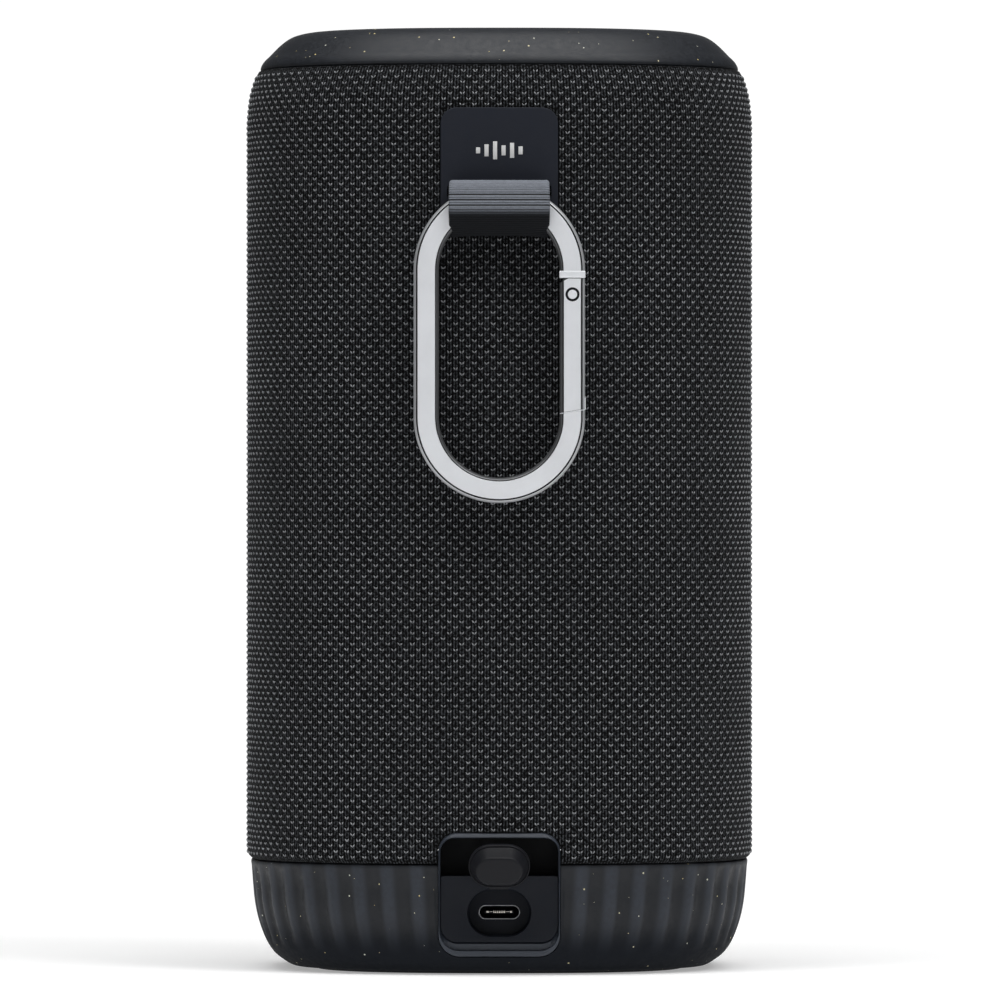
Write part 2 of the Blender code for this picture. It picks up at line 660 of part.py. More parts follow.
def make_port():
    outline = rounded_rect(-PORT_HALF, PORT_HALF, PORT_LOW, PORT_HIGH, (3.8, 3.8, 4.3, 4.3))
    bezel = stand(flat("port_bezel", [outline], 20.0, PORT_PLASTIC), -58.5, -38.5)
    skin = envelope("port_skin", [
        (44.4, 1.0), (46.9, 4.0), (48.7, 7.4), (49.9, 10.5), (50.8, 14.5), (51.4, 20.0),
        (51.9, 24.0), (51.9, 34.0),
    ])
    combine(bezel, skin, "INTERSECT")
    inner = PORT_HALF - RIM
    opening = rounded_rect(-inner, inner, PANEL_LOW, POCKET_HIGH, (2.8, 2.8, 3.4, 3.4))
    recess = stand(flat("port_recess", [opening], 20.0), POCKET_FLOOR_Y - 20.0, POCKET_FLOOR_Y)
    combine(recess, panel_block())
    combine(bezel, recess)
    socket = flat("socket_room", [stadium(SOCKET_HALF_LONG, SOCKET_HALF_TALL, 8, (0, SOCKET_Z))], 20)
    combine(bezel, stand(socket, SOCKET_FLOOR_Y - 20, SOCKET_FLOOR_Y))
    way = flat("shell_way", [stadium(4.8, 1.95, 6, (0, SOCKET_Z))], 10)
    combine(bezel, stand(way, -42, -32))

    shell = flat("usb_c_shell", [
        stadium(4.47, 1.63, 6, (0, SOCKET_Z)), stadium(4.17, 1.28, 6, (0, SOCKET_Z)),
    ], 7.2, STEEL)
    stand(shell, SOCKET_FLOOR_Y - 0.2, SOCKET_FLOOR_Y + 7.0)
    tongue = box("usb_c_tongue", (-3.35, SOCKET_FLOOR_Y + 0.3, SOCKET_Z - 0.35),
                 (3.35, SOCKET_FLOOR_Y + 5.6, SOCKET_Z + 0.35), INNER_PLASTIC)
    heel = box("tongue_heel", (-3.0, SOCKET_FLOOR_Y + 5.0, SOCKET_Z - 0.95),
               (3.0, SOCKET_FLOOR_Y + 6.8, SOCKET_Z + 0.95))
    combine(tongue, heel, "UNION")


def panel_block():
    """What stays of the bezel behind the sloping socket panel, below the pocket."""
    outline = [
        (PANEL_TOP_Y, POCKET_LOW), (-36, POCKET_LOW), (-36, 0), (PANEL_LOW_Y, 0),
        (PANEL_LOW_Y, PANEL_LOW),
    ]
    block = flat("panel_block", [outline], 40)
    turn = Matrix(((0, 0, 1, 0), (1, 0, 0, 0), (0, 1, 0, 0), (0, 0, 0, 1)))
    block.data.transform(turn)
    return block


def make_plug():
    """The port's rubber plug, folded up and leaning back out of its pocket, with its boss outwards."""
    centre = (0, 5.0)
    flange_half, flange_tall, flange_thick = SOCKET_HALF_LONG - 0.25, SOCKET_HALF_TALL - 0.3, 1.2
    boss_deep = 3.1

    def ring_points(half_long, half_short, y):
        return [(x, y, z) for x, z in stadium(half_long, half_short, 6, centre)]

    def build(bm):
        stations = (
            (flange_half, flange_tall, 0.0), (flange_half, flange_tall, -flange_thick),
            (5.75, 3.8, -flange_thick - 0.1), (4.7, 2.7, -flange_thick - boss_deep),
        )
        rings = [[bm.verts.new(p) for p in ring_points(*station)] for station in stations]
        for near, far in zip(rings, rings[1:]):
            for i in range(len(near)):
                j = (i + 1) % len(near)
                bm.faces.new((near[i], near[j], far[j], far[i]))
        bm.faces.new(rings[0])
        bm.faces.new(rings[-1])

    plug = add_part("port_plug", mesh_from("port_plug", build), RUBBER)
    tab = box("plug_tab", (-2.6, -0.6, -0.4), (2.6, -0.05, 2.0))
    tab.parent = plug
    combine(plug, tab, "UNION")
    plug.location = (0, PLUG_HINGE_Y * MM, PLUG_HINGE_Z * MM)
    plug.rotation_euler = (PLUG_LEAN, 0, 0)


make_base()
make_top_cap()
make_fabric_and_grille()
make_volume_keys()
make_top_keys()
make_core()
make_drivers()
make_radiators()
make_electronics()
make_patch()
make_hook()
make_loop()
make_port()
make_plug()
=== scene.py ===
"""Looks of the shower speaker: knit sleeve, speckled casing, snap hook, webbing loop and charging port."""

import json
import math

import bmesh
import bpy
import numpy as np
from mathutils import Matrix, Vector


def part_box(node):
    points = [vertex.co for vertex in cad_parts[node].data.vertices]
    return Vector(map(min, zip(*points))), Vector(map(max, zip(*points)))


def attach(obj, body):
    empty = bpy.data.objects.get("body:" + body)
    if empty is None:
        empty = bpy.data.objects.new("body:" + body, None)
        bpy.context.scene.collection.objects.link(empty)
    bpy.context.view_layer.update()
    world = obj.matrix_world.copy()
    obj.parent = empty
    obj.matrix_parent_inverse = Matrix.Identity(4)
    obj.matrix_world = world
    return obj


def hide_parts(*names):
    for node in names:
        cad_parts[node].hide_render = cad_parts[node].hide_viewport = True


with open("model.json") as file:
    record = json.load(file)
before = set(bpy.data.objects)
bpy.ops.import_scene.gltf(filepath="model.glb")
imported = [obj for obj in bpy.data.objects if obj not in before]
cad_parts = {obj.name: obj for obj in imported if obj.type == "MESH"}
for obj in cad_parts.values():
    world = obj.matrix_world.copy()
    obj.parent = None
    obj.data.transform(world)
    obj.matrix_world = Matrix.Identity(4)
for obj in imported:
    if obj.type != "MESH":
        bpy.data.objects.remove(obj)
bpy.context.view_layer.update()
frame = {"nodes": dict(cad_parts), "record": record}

MM = 0.001
SECTION_POWER = 2.6
BOTH_ENDS, LAST_END, NO_ENDS = (True, True), (False, True), (False, False)
rng = np.random.default_rng(7)

# ---------------------------------------------------------------- places, from the frame

sleeve_low, sleeve_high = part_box("fabric_sleeve")
HALF_WIDTH = sleeve_high.x
HALF_DEPTH = (sleeve_high.y - sleeve_low.y) / 2
DEPTH_STEP = HALF_WIDTH - HALF_DEPTH
cap_low, cap_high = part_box("top_cap")
base_low, base_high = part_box("base_cup")
bezel_low, bezel_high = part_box("port_bezel")
patch_low, patch_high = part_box("rear_patch")
hook_low, hook_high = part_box("carabiner_frame")
gate_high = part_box("carabiner_gate")[1]
shell_low, shell_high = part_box("usb_c_shell")
down_low, down_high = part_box("volume_down_key")
KEY_BAR = (down_high.z - down_low.z) / 2
VOLUME_KEYS = {"volume_up_key": "volume_up", "volume_down_key": "volume_down"}
TOP_KEYS = ("pairing_key", "power_key", "boost_key")
JOINTS = {joint["name"]: joint for joint in frame["record"]["behaviour"]["joints"]}


# ---------------------------------------------------------------- mesh helpers

def linked(name, data):
    """A new object of the data, linked to the scene."""
    obj = bpy.data.objects.new(name, data)
    bpy.context.scene.collection.objects.link(obj)
    return obj


def new_object(name, verts, faces, uvs=None, smooth=True):
    mesh = bpy.data.meshes.new(name)
    mesh.from_pydata(np.asarray(verts).reshape(-1, 3).tolist(), [], faces)
    if uvs is not None:
        layer = mesh.uv_layers.new(name="weave")
        layer.data.foreach_set("uv", np.asarray(uvs, np.float32).ravel())
    if smooth:
        mesh.shade_smooth()
    return linked(name, mesh)


def tidy_normals(obj, sharp_degrees=None):
    bm = bmesh.new()
    bm.from_mesh(obj.data)
    bmesh.ops.recalc_face_normals(bm, faces=bm.faces)
    bm.to_mesh(obj.data)
    bm.free()
    if sharp_degrees:
        obj.data.set_sharp_from_angle(angle=math.radians(sharp_degrees))
    return obj


def skin_loops(name, loops, caps=BOTH_ENDS, closed_rows=False, uvs=None, sharp=None):
    """Loops of points with equal counts, joined row to row, each loop closed round."""
    loops = np.asarray(loops)
    rows, count = loops.shape[:2]
    faces, corner_uvs = [], []
    for row in range(rows if closed_rows else rows - 1):
        after = (row + 1) % rows
        for i in range(count):
            j = (i + 1) % count
            faces.append((row * count + i, row * count + j, after * count + j, after * count + i))
            if uvs is not None:
                u, v = uvs
                corner_uvs += [(u[i], v[row]), (u[i + 1], v[row]), (u[i + 1], v[row + 1]), (u[i], v[row + 1])]
    for capped, first in zip(caps, (0, (rows - 1) * count)):
        if capped:
            faces.append(tuple(range(first, first + count)))
            corner_uvs += [(0, 0)] * count
    obj = new_object(name, loops, faces, corner_uvs if uvs is not None else None)
    return tidy_normals(obj, sharp)


def metres(points, x=0.0, z=0.0):
    """Points written in millimetres, as metres from the place (x, z)."""
    return np.array(points) * MM + (x, z)


def upright(outline, y):
    """An outline of (x, z) stood up at depth y, which is one value or one for each point."""
    return np.column_stack([outline[:, 0], np.broadcast_to(y, len(outline)), outline[:, 1]])


def prism(name, outline, depths, **settings):
    """An upright outline repeated at each depth and joined up."""
    return skin_loops(name, [upright(outline, y) for y in depths], **settings)


def carve(obj, cutter, operation="DIFFERENCE", sharp=30):
    """Applies a Boolean with the cutter, which is then removed, and marks the crisp edges again."""
    modifier = obj.modifiers.new("carve", "BOOLEAN")
    modifier.operation = operation
    modifier.solver = "EXACT"
    modifier.object = cutter
    graph = bpy.context.evaluated_depsgraph_get()
    made = bpy.data.meshes.new_from_object(obj.evaluated_get(graph))
    obj.modifiers.clear()
    obj.data = made
    made.set_sharp_from_angle(angle=math.radians(sharp))
    bpy.data.objects.remove(cutter)
    return obj


def spline(points, per_span):
    """A smooth run of points through the given ones (Catmull-Rom)."""
    points = np.asarray(points, float)
    padded = np.vstack([2 * points[0] - points[1], points, 2 * points[-1] - points[-2]])
    run = []
    for i in range(len(points) - 1):
        a, b, c, d = padded[i:i + 4]
        for t in np.arange(per_span) / per_span:
            run.append(0.5 * (2 * b + (c - a) * t + (2 * a - 5 * b + 4 * c - d) * t ** 2
                              + (3 * b - a - 3 * c + d) * t ** 3))
    run.append(points[-1])
    return np.array(run)


def arc(cx, cy, radius, start, end, steps):
    angle = np.radians(np.linspace(start, end, steps + 1))
    return np.column_stack([cx + radius * np.cos(angle), cy + radius * np.sin(angle)])


def rounded_rect(left, right, low, high, top_radius, low_radius, steps=8):
    corners = ((right, high, -1, -1, top_radius), (left, high, 1, -1, top_radius),
               (left, low, 1, 1, low_radius), (right, low, -1, 1, low_radius))
    runs = []
    for turn, (x, z, dx, dz, radius) in enumerate(corners):
        runs.append(arc(x + dx * radius, z + dz * radius, radius, 90 * turn, 90 * turn + 90, steps))
    return np.vstack(runs)


def stadium(half_long, half_short, centre, steps=20):
    straight = half_long - half_short
    right = arc(centre[0] + straight, centre[1], half_short, -90, 90, steps)
    left = arc(centre[0] - straight, centre[1], half_short, 90, 270, steps)
    return np.vstack([right, left])


def resampled(outline, count):
    """The closed outline as evenly spaced points, starting straight right of its middle."""
    outline = np.vstack([outline, outline[:1]])
    steps = np.hypot(*np.diff(outline, axis=0).T)
    run = np.concatenate([[0], np.cumsum(steps)])
    even = np.linspace(0, run[-1], 4 * count, endpoint=False)
    dense = np.column_stack([np.interp(even, run, outline[:, k]) for k in (0, 1)])
    middle = (dense.min(0) + dense.max(0)) / 2
    angle = np.arctan2(dense[:, 1] - middle[1], dense[:, 0] - middle[0])
    first = int(np.argmin(np.abs(angle)))
    return np.roll(dense, -first, axis=0)[::4]


def bevelled_box(name, low, high, bevel, segments=3):
    bm = bmesh.new()
    bmesh.ops.create_cube(bm, size=1.0)
    size = Vector(high) - Vector(low)
    bmesh.ops.scale(bm, vec=size, verts=bm.verts)
    bmesh.ops.translate(bm, vec=(Vector(high) + Vector(low)) / 2, verts=bm.verts)
    bmesh.ops.bevel(bm, geom=bm.edges[:], offset=bevel, segments=segments, affect="EDGES", profile=0.5)
    mesh = bpy.data.meshes.new(name)
    bm.to_mesh(mesh)
    bm.free()
    mesh.shade_smooth()
    return linked(name, mesh)


def lathe(name, profile, centre, axis, segments=48, sharp=35):
    """A profile of (radius, height) turned round an axis through centre. The height runs along it."""
    turns = {"Z": Matrix.Identity(3), "-Y": Matrix.Rotation(math.pi / 2, 3, "X"),
             "Y": Matrix.Rotation(-math.pi / 2, 3, "X")}
    turn = np.array(turns[axis])
    angle = 2 * np.pi * np.arange(segments) / segments
    loops = [np.column_stack([r * np.cos(angle), r * np.sin(angle), np.full(segments, h)])
             for r, h in profile]
    loops = np.array(loops) @ turn.T + np.array(centre)
    return skin_loops(name, loops, sharp=sharp)


def settle(obj, body, slot, *materials, replaces=()):
    """Gives a piece its materials and its body, and hides the CAD nodes that it stands for. The slot is not
    used.
    """
    indices = [polygon.material_index for polygon in obj.data.polygons]
    obj.data.materials.clear()
    for made in materials:
        obj.data.materials.append(made)
    if len(materials) > 1:
        obj.data.polygons.foreach_set("material_index", indices)
    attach(obj, body)
    if replaces:
        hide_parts(*replaces)
    return obj


# ---------------------------------------------------------------- the body's section

def section_xy(theta, half):
    """Points of the rounded section at angles theta, for a half width in metres."""
    half_depth = half - DEPTH_STEP
    across, along = np.cos(theta), np.sin(theta)
    radius = (np.abs(across / half) ** SECTION_POWER + np.abs(along / half_depth) ** SECTION_POWER)
    radius = radius ** (-1 / SECTION_POWER)
    return radius * across, radius * along


def arc_table():
    """Angle and arc length round the full section, zero at the middle of the back."""
    theta = np.linspace(-np.pi / 2 - np.pi, -np.pi / 2 + np.pi, 6001)
    x, y = section_xy(theta, HALF_WIDTH)
    run = np.concatenate([[0], np.cumsum(np.hypot(np.diff(x), np.diff(y)))])
    return theta, run - run[-1] / 2


TABLE_THETA, TABLE_RUN = arc_table()
PERIMETER = 2 * TABLE_RUN[-1]
FLUTE_FIRST = 16.9 * MM
FLUTE_SPACES = 23
FLUTE_PITCH = (PERIMETER / 2 - FLUTE_FIRST) / FLUTE_SPACES
FLUTE_DEPTH = 0.8 * MM


def theta_at(run):
    return np.interp(run, TABLE_RUN, TABLE_THETA)


def wrap_grid(name, stations, columns, closed=False, shape=None):
    """Stations of (half width, z) wrapped round the section. shape(run, row) adds to the width."""
    run = np.linspace(-PERIMETER / 2, PERIMETER / 2, columns + 1)
    theta = theta_at(run[:-1])
    loops = []
    for row, (half, z) in enumerate(stations):
        extra = shape(run[:-1], row) if shape is not None else 0.0
        x, y = section_xy(theta, half + extra)
        loops.append(np.column_stack([x, y, np.full(columns, z)]))
    lengths = np.hypot(*np.diff(stations, axis=0).T)
    heights = np.concatenate([[0], np.cumsum(lengths)]) + stations[0][1]
    heights = np.append(heights, heights[-1] + lengths[-1])
    caps = NO_ENDS if closed else BOTH_ENDS
    return skin_loops(name, loops, caps, closed, uvs=(run / MM, heights / MM), sharp=50)


def surface_depth(x, z, stations):
    """How far the wrapped surface lies from the middle plane, at x and height z, on the back."""
    half = np.interp(z, stations[:, 1], stations[:, 0])
    share = 1 - np.abs(np.asarray(x) / half) ** SECTION_POWER
    return (half - DEPTH_STEP) * np.maximum(share, 0) ** (1 / SECTION_POWER)


# ---------------------------------------------------------------- material helpers

class Nodes:
    """A short way to write a node tree on a Principled material."""

    def __init__(self, name):
        self.material = bpy.data.materials.new(name)
        self.material.use_nodes = True
        self.tree = self.material.node_tree
        self.shader = self.tree.nodes["Principled BSDF"]

    def add(self, kind, **settings):
        node = self.tree.nodes.new(kind)
        for key, value in settings.items():
            setattr(node, key, value)
        return node

    def link(self, source, target):
        self.tree.links.new(source, target)

    def feed(self, target, value):
        if isinstance(value, bpy.types.NodeSocket):
            self.link(value, target)
        else:
            target.default_value = value

    def math(self, operation, *values):
        node = self.add("ShaderNodeMath", operation=operation)
        for socket, value in zip(node.inputs, values):
            self.feed(socket, value)
        return node.outputs[0]

    def ramp(self, value, low, high, to_low=0.0, to_high=1.0, smooth=True):
        node = self.add("ShaderNodeMapRange")
        node.interpolation_type = "SMOOTHSTEP" if smooth else "LINEAR"
        for socket, item in zip(node.inputs, (value, low, high, to_low, to_high)):
            self.feed(socket, item)
        return node.outputs[0]

    def mix(self, factor, first, second):
        node = self.add("ShaderNodeMix", data_type="RGBA")
        self.feed(node.inputs[0], factor)
        self.feed(node.inputs[6], first)
        self.feed(node.inputs[7], second)
        return node.outputs[2]

    def place(self):
        return self.add("ShaderNodeTexCoord").outputs["Object"]

    def weave(self):
        return self.add("ShaderNodeUVMap", uv_map="weave").outputs[0]

    def split(self, vector):
        """The X, Y and Z of a vector."""
        node = self.add("ShaderNodeSeparateXYZ")
        self.link(vector, node.inputs[0])
        return node.outputs

    def stretched(self, scale):
        node = self.add("ShaderNodeMapping")
        node.inputs["Scale"].default_value = scale
        self.link(self.place(), node.inputs["Vector"])
        return node.outputs[0]

    def noise(self, scale, detail=2.0, rough=0.5, vector=None):
        node = self.add("ShaderNodeTexNoise")
        self.link(vector or self.place(), node.inputs["Vector"])
        node.inputs["Scale"].default_value = scale
        node.inputs["Detail"].default_value = detail
        node.inputs["Roughness"].default_value = rough
        return node.outputs["Fac"]

    def bump(self, height, strength, distance):
        node = self.add("ShaderNodeBump")
        node.inputs["Strength"].default_value = strength
        node.inputs["Distance"].default_value = distance
        self.link(height, node.inputs["Height"])
        self.link(node.outputs[0], self.shader.inputs["Normal"])

    def set(self, **values):
        names = {"color": "Base Color", "rough": "Roughness", "metal": "Metallic", "ior": "IOR",
                 "sheen": "Sheen Weight", "sheen_rough": "Sheen Roughness", "coat": "Coat Weight",
                 "coat_rough": "Coat Roughness", "specular": "Specular IOR Level",
                 "anisotropic": "Anisotropic"}
        for key, value in values.items():
            self.feed(self.shader.inputs[names[key]], value)
        return self


def grey(value, tint=(1.0, 1.0, 1.0)):
    return (value * tint[0], value * tint[1], value * tint[2], 1.0)


COOL = (0.8, 0.95, 1.25)
FINE_RIB, BOLD_RIB, BOLD_FOOT = 0.55 * MM, 1.08 * MM, 154.0 * MM
FLECK_SHARE = 0.12
GRAIN_DEPTH = 0.1 * MM


def speckled_plastic(name, dark, light, shade_and_dull_foot=False):
    """Plastic with pale flecks. The shaded kind has painted shade in the grooves between its flutes and just
    below the sleeve, and at its foot painted shade with a duller finish.
    """
    n = Nodes(name)
    mottle = n.noise(900, 3, 0.6)
    base = n.mix(n.ramp(mottle, 0.3, 0.7), grey(dark, COOL), grey(light, COOL))
    cells = n.add("ShaderNodeTexVoronoi")
    cells.inputs["Scale"].default_value = 1000
    n.link(n.place(), cells.inputs["Vector"])
    split = n.add("ShaderNodeSeparateColor")
    n.link(cells.outputs["Color"], split.inputs[0])
    chosen = n.math("GREATER_THAN", split.outputs[0], 1 - FLECK_SHARE)
    size = n.ramp(split.outputs[1], 0, 1, 0.08, 0.18)
    speck = n.math("MULTIPLY", chosen, n.math("LESS_THAN", cells.outputs["Distance"], size))
    warm = n.mix(split.outputs[2], (0.62, 0.5, 0.2, 1), (0.6, 0.62, 0.55, 1))
    rough = n.ramp(mottle, 0.2, 0.8, 0.42, 0.6)
    gloss = 0.3
    if shade_and_dull_foot:
        height = n.split(n.place())[2]
        # Towards the foot the plastic turns rougher and less glossy, and its colour is darkened as painted
        # shade.
        foot_shade_and_dulling = n.ramp(height, 3 * MM, 13 * MM, 1.0, 0.0)
        rough = n.math("ADD", rough, n.math("MULTIPLY", foot_shade_and_dulling, 0.2))
        gloss = n.ramp(foot_shade_and_dulling, 0.0, 1.0, gloss, 0.06)
        # Painted light and shade in the colour: flute crests lighter, grooves darker, and darker still just
        # below the sleeve's edge.
        from_first = n.math("SUBTRACT", n.math("ABSOLUTE", n.split(n.weave())[0]), FLUTE_FIRST / MM)
        crest = n.math("COSINE", n.math("MULTIPLY", from_first, 2 * math.pi / (FLUTE_PITCH / MM)))
        clear_of_sleeve_shade = n.ramp(height, 21 * MM, 23 * MM, 1.0, 0.3)
        crest_light = n.math("MULTIPLY", n.ramp(crest, -0.5, 0.9), clear_of_sleeve_shade)
        base = n.mix(crest_light, grey(dark * 0.4, COOL), base)
        base = n.mix(foot_shade_and_dulling, base, grey(dark * 0.45, COOL))
    n.set(color=n.mix(speck, base, warm), rough=rough, specular=gloss)
    n.bump(n.noise(2600, 2, 0.6), 0.25, GRAIN_DEPTH)
    return n.material


def moulded(name, dark, light, rough, tint=COOL, grain=2200, depth=0.18, gloss=0.3):
    n = Nodes(name)
    mottle = n.noise(260, 4, 0.55)
    n.set(color=n.mix(mottle, grey(dark, tint), grey(light, tint)),
          rough=n.ramp(mottle, 0.25, 0.75, rough - 0.06, rough + 0.06), specular=gloss)
    n.bump(n.noise(grain, 2, 0.6), depth, GRAIN_DEPTH)
    return n.material


def satin_metal(name, value, rough, tint=(0.97, 0.99, 1.03), direction=(1, 1, 30), metal=1.0):
    n = Nodes(name)
    grain = n.noise(1800, 3, 0.6, n.stretched(direction))
    wear = n.noise(120, 4, 0.6)
    n.set(color=n.mix(n.ramp(wear, 0.3, 0.8), grey(value, tint), grey(value * 0.93, tint)),
          rough=n.ramp(grain, 0.25, 0.75, rough - 0.05, rough + 0.07), metal=metal)
    n.bump(grain, 0.05, GRAIN_DEPTH)
    return n.material


def webbing_material():
    """Ribbed yarn: light weft lines across the strap, with painted shade darkening its lower, down-facing
    side, which also gets less gloss and sheen.
    """
    n = Nodes("webbing_yarn")
    yarn = n.noise(700, 3, 0.6, n.stretched((1, 7, 7)))
    fleck = n.noise(5200, 2, 0.6)
    height = n.split(n.place())[2]
    line = n.math("SINE", n.math("MULTIPLY", n.split(n.weave())[0], 2 * math.pi / (FINE_RIB / MM)))
    line = n.ramp(line, -1, 1, 0.42, 1.0)
    turns = n.math("MULTIPLY", n.math("SUBTRACT", height, BOLD_FOOT), math.pi / BOLD_RIB)
    bold = n.ramp(n.math("ABSOLUTE", n.math("SINE", turns)), 0.15, 0.7, 0.05, 1.0)
    from_bold = n.math("ABSOLUTE", n.math("SUBTRACT", height, BOLD_FOOT + BOLD_RIB))
    reach = n.ramp(from_bold, 1.4 * MM, 1.6 * MM, 1.0, 0.0)
    bold = n.math("ADD", n.math("MULTIPLY", bold, reach), n.math("SUBTRACT", 1.0, reach))
    # Painted shade: the colour darkens towards the strap's lower, down-facing side.
    underside_shade = n.ramp(height, 151.8 * MM, 153.9 * MM, 0.07, 1.0)
    tone = n.math("MULTIPLY", n.math("MULTIPLY", line, bold), underside_shade)
    tone = n.math("MULTIPLY", tone, n.ramp(n.math("ADD", yarn, fleck), 0.6, 1.4, 0.7, 1.1))
    n.set(color=n.mix(tone, grey(0.002), grey(0.22, (0.88, 0.96, 1.12))), rough=0.7,
          specular=n.ramp(underside_shade, 0.0, 1.0, 0.05, 0.3), sheen=n.math("MULTIPLY", underside_shade, 0.08), sheen_rough=0.4)
    n.bump(n.math("ADD", yarn, line), 0.3, GRAIN_DEPTH)
    return n.material


# ---------------------------------------------------------------- knit

COLUMN_PAIRS = round(PERIMETER / 2 / (1.245 * MM))
COLUMN = PERIMETER / COLUMN_PAIRS / 2
ROW = 2.25 * MM
ROW_PHASE = 82.2 * MM


def knit_ground():
    """The dark legs of the stitches and the black between them, drawn on the sleeve's own UV."""
    n = Nodes("knit_ground")
    run, climb, _ = n.split(n.weave())
    across = n.math("ADD", n.math("DIVIDE", run, COLUMN / MM), 0.5)
    odd = n.math("PINGPONG", n.math("FLOOR", across), 1.0)
    along = n.math("DIVIDE", n.math("SUBTRACT", climb, ROW_PHASE / MM), ROW / MM)
    along = n.math("ADD", along, n.math("MULTIPLY", odd, 0.5))
    side = n.math("ABSOLUTE", n.math("SUBTRACT", n.math("FRACT", across), 0.5))
    level = n.math("FRACT", along)
    jitter = n.noise(2600, 2, 0.7)
    sway = n.math("MULTIPLY", n.math("SINE", n.math("MULTIPLY", level, 12.57)), 0.05)
    from_leg = n.math("ABSOLUTE", n.math("SUBTRACT", side, n.math("ADD", 0.24, sway)))
    from_gap = n.math("ABSOLUTE", n.math("SUBTRACT", level, 0.24))
    leg = n.math("MULTIPLY", n.ramp(from_leg, 0.06, 0.18, 1.0, 0.0), n.ramp(from_gap, 0.03, 0.1, 0.0, 1.0))
    leg = n.math("MULTIPLY", leg, n.ramp(jitter, 0.4, 0.6, 0.08, 1.25))
    n.set(color=n.mix(leg, grey(0.0006), grey(0.055, (0.92, 0.98, 1.08))), rough=0.85, specular=0.06,
          sheen=0.02, sheen_rough=0.5)
    n.bump(n.math("ADD", leg, n.math("MULTIPLY", jitter, 0.3)), 0.6, 1.5 * GRAIN_DEPTH)
    return n.material


def knit_yarn():
    """The pale yarn of the raised stitches."""
    n = Nodes("knit_yarn")
    tint = (0.97, 1.0, 1.05)
    fleck = n.noise(2500, 2, 0.6)
    wide = n.noise(45, 3, 0.5)
    tone = n.math("ADD", n.math("MULTIPLY", fleck, 0.7), n.math("MULTIPLY", wide, 0.3))
    n.set(color=n.mix(n.ramp(tone, 0.35, 0.65), grey(0.17, tint), grey(0.36, tint)),
          rough=0.62, specular=0.3, sheen=0.06, sheen_rough=0.4)
    return n.material


SLEEVE_FOOT = spline(metres([(-0.9, -0.35), (-0.15, 0.5), (0, 1.9), (0, 4)], HALF_WIDTH, sleeve_low.z), 5)
SLEEVE_SHOULDER = spline(metres([
    (0, -14), (0, -11), (-0.2, -8), (-0.65, -4.7), (-1.6, -1.5), (-2.3, -0.1),
], HALF_WIDTH, sleeve_high.z), 5)
SLEEVE_OUTLINE = np.vstack([SLEEVE_FOOT, SLEEVE_SHOULDER])
SLEEVE_WALL = 1.2 * MM
KEY_ROUND = 0.55


def sleeve_points(run, z, lift):
    """Points on the sleeve, lifted off it, with the directions along the row, up the column and out."""
    half = np.interp(z, SLEEVE_OUTLINE[:, 1], SLEEVE_OUTLINE[:, 0])
    theta = theta_at(run)
    x, y = section_xy(theta, half)
    ahead_x, ahead_y = section_xy(theta + 1e-4, half)
    along = np.column_stack([ahead_x - x, ahead_y - y, np.zeros_like(x)])
    along /= np.linalg.norm(along, axis=1)[:, None]
    above = np.interp(z + 0.2 * MM, SLEEVE_OUTLINE[:, 1], SLEEVE_OUTLINE[:, 0])
    up_x, up_y = section_xy(theta, above)
    up = np.column_stack([up_x - x, up_y - y, np.full_like(x, 0.2 * MM)])
    up /= np.linalg.norm(up, axis=1)[:, None]
    out = np.cross(along, up)
    return np.column_stack([x, y, z]) + out * lift, along, up, out


def key_bars(node):
    """The bars that make up a volume key, as (half width, half height), and the height of its middle."""
    low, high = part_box(node)
    tall = (high.z - low.z) / 2
    bars = [(high.x, KEY_BAR)]
    if tall > 2 * KEY_BAR:
        bars.append((KEY_BAR, tall))
    return bars, (low.z + high.z) / 2


def in_keepouts(points):
    """True where the port, the patch or a volume key takes the place of stitches."""
    hidden = np.zeros(len(points), bool)
    margin = 0.45 * MM
    back = points[:, 1] < 0
    from_centre = np.abs(points[:, 0])
    height = points[:, 2]
    for low, high in ((bezel_low, bezel_high), (patch_low, patch_high)):
        hidden |= back & (from_centre < high.x + margin) & (height < high.z + margin) & (height > low.z)
    for node in VOLUME_KEYS:
        bars, middle = key_bars(node)
        from_middle = np.abs(height - middle)
        for half_x, half_z in bars:
            hidden |= ~back & (from_centre < half_x + margin) & (from_middle < half_z + margin)
    return hidden


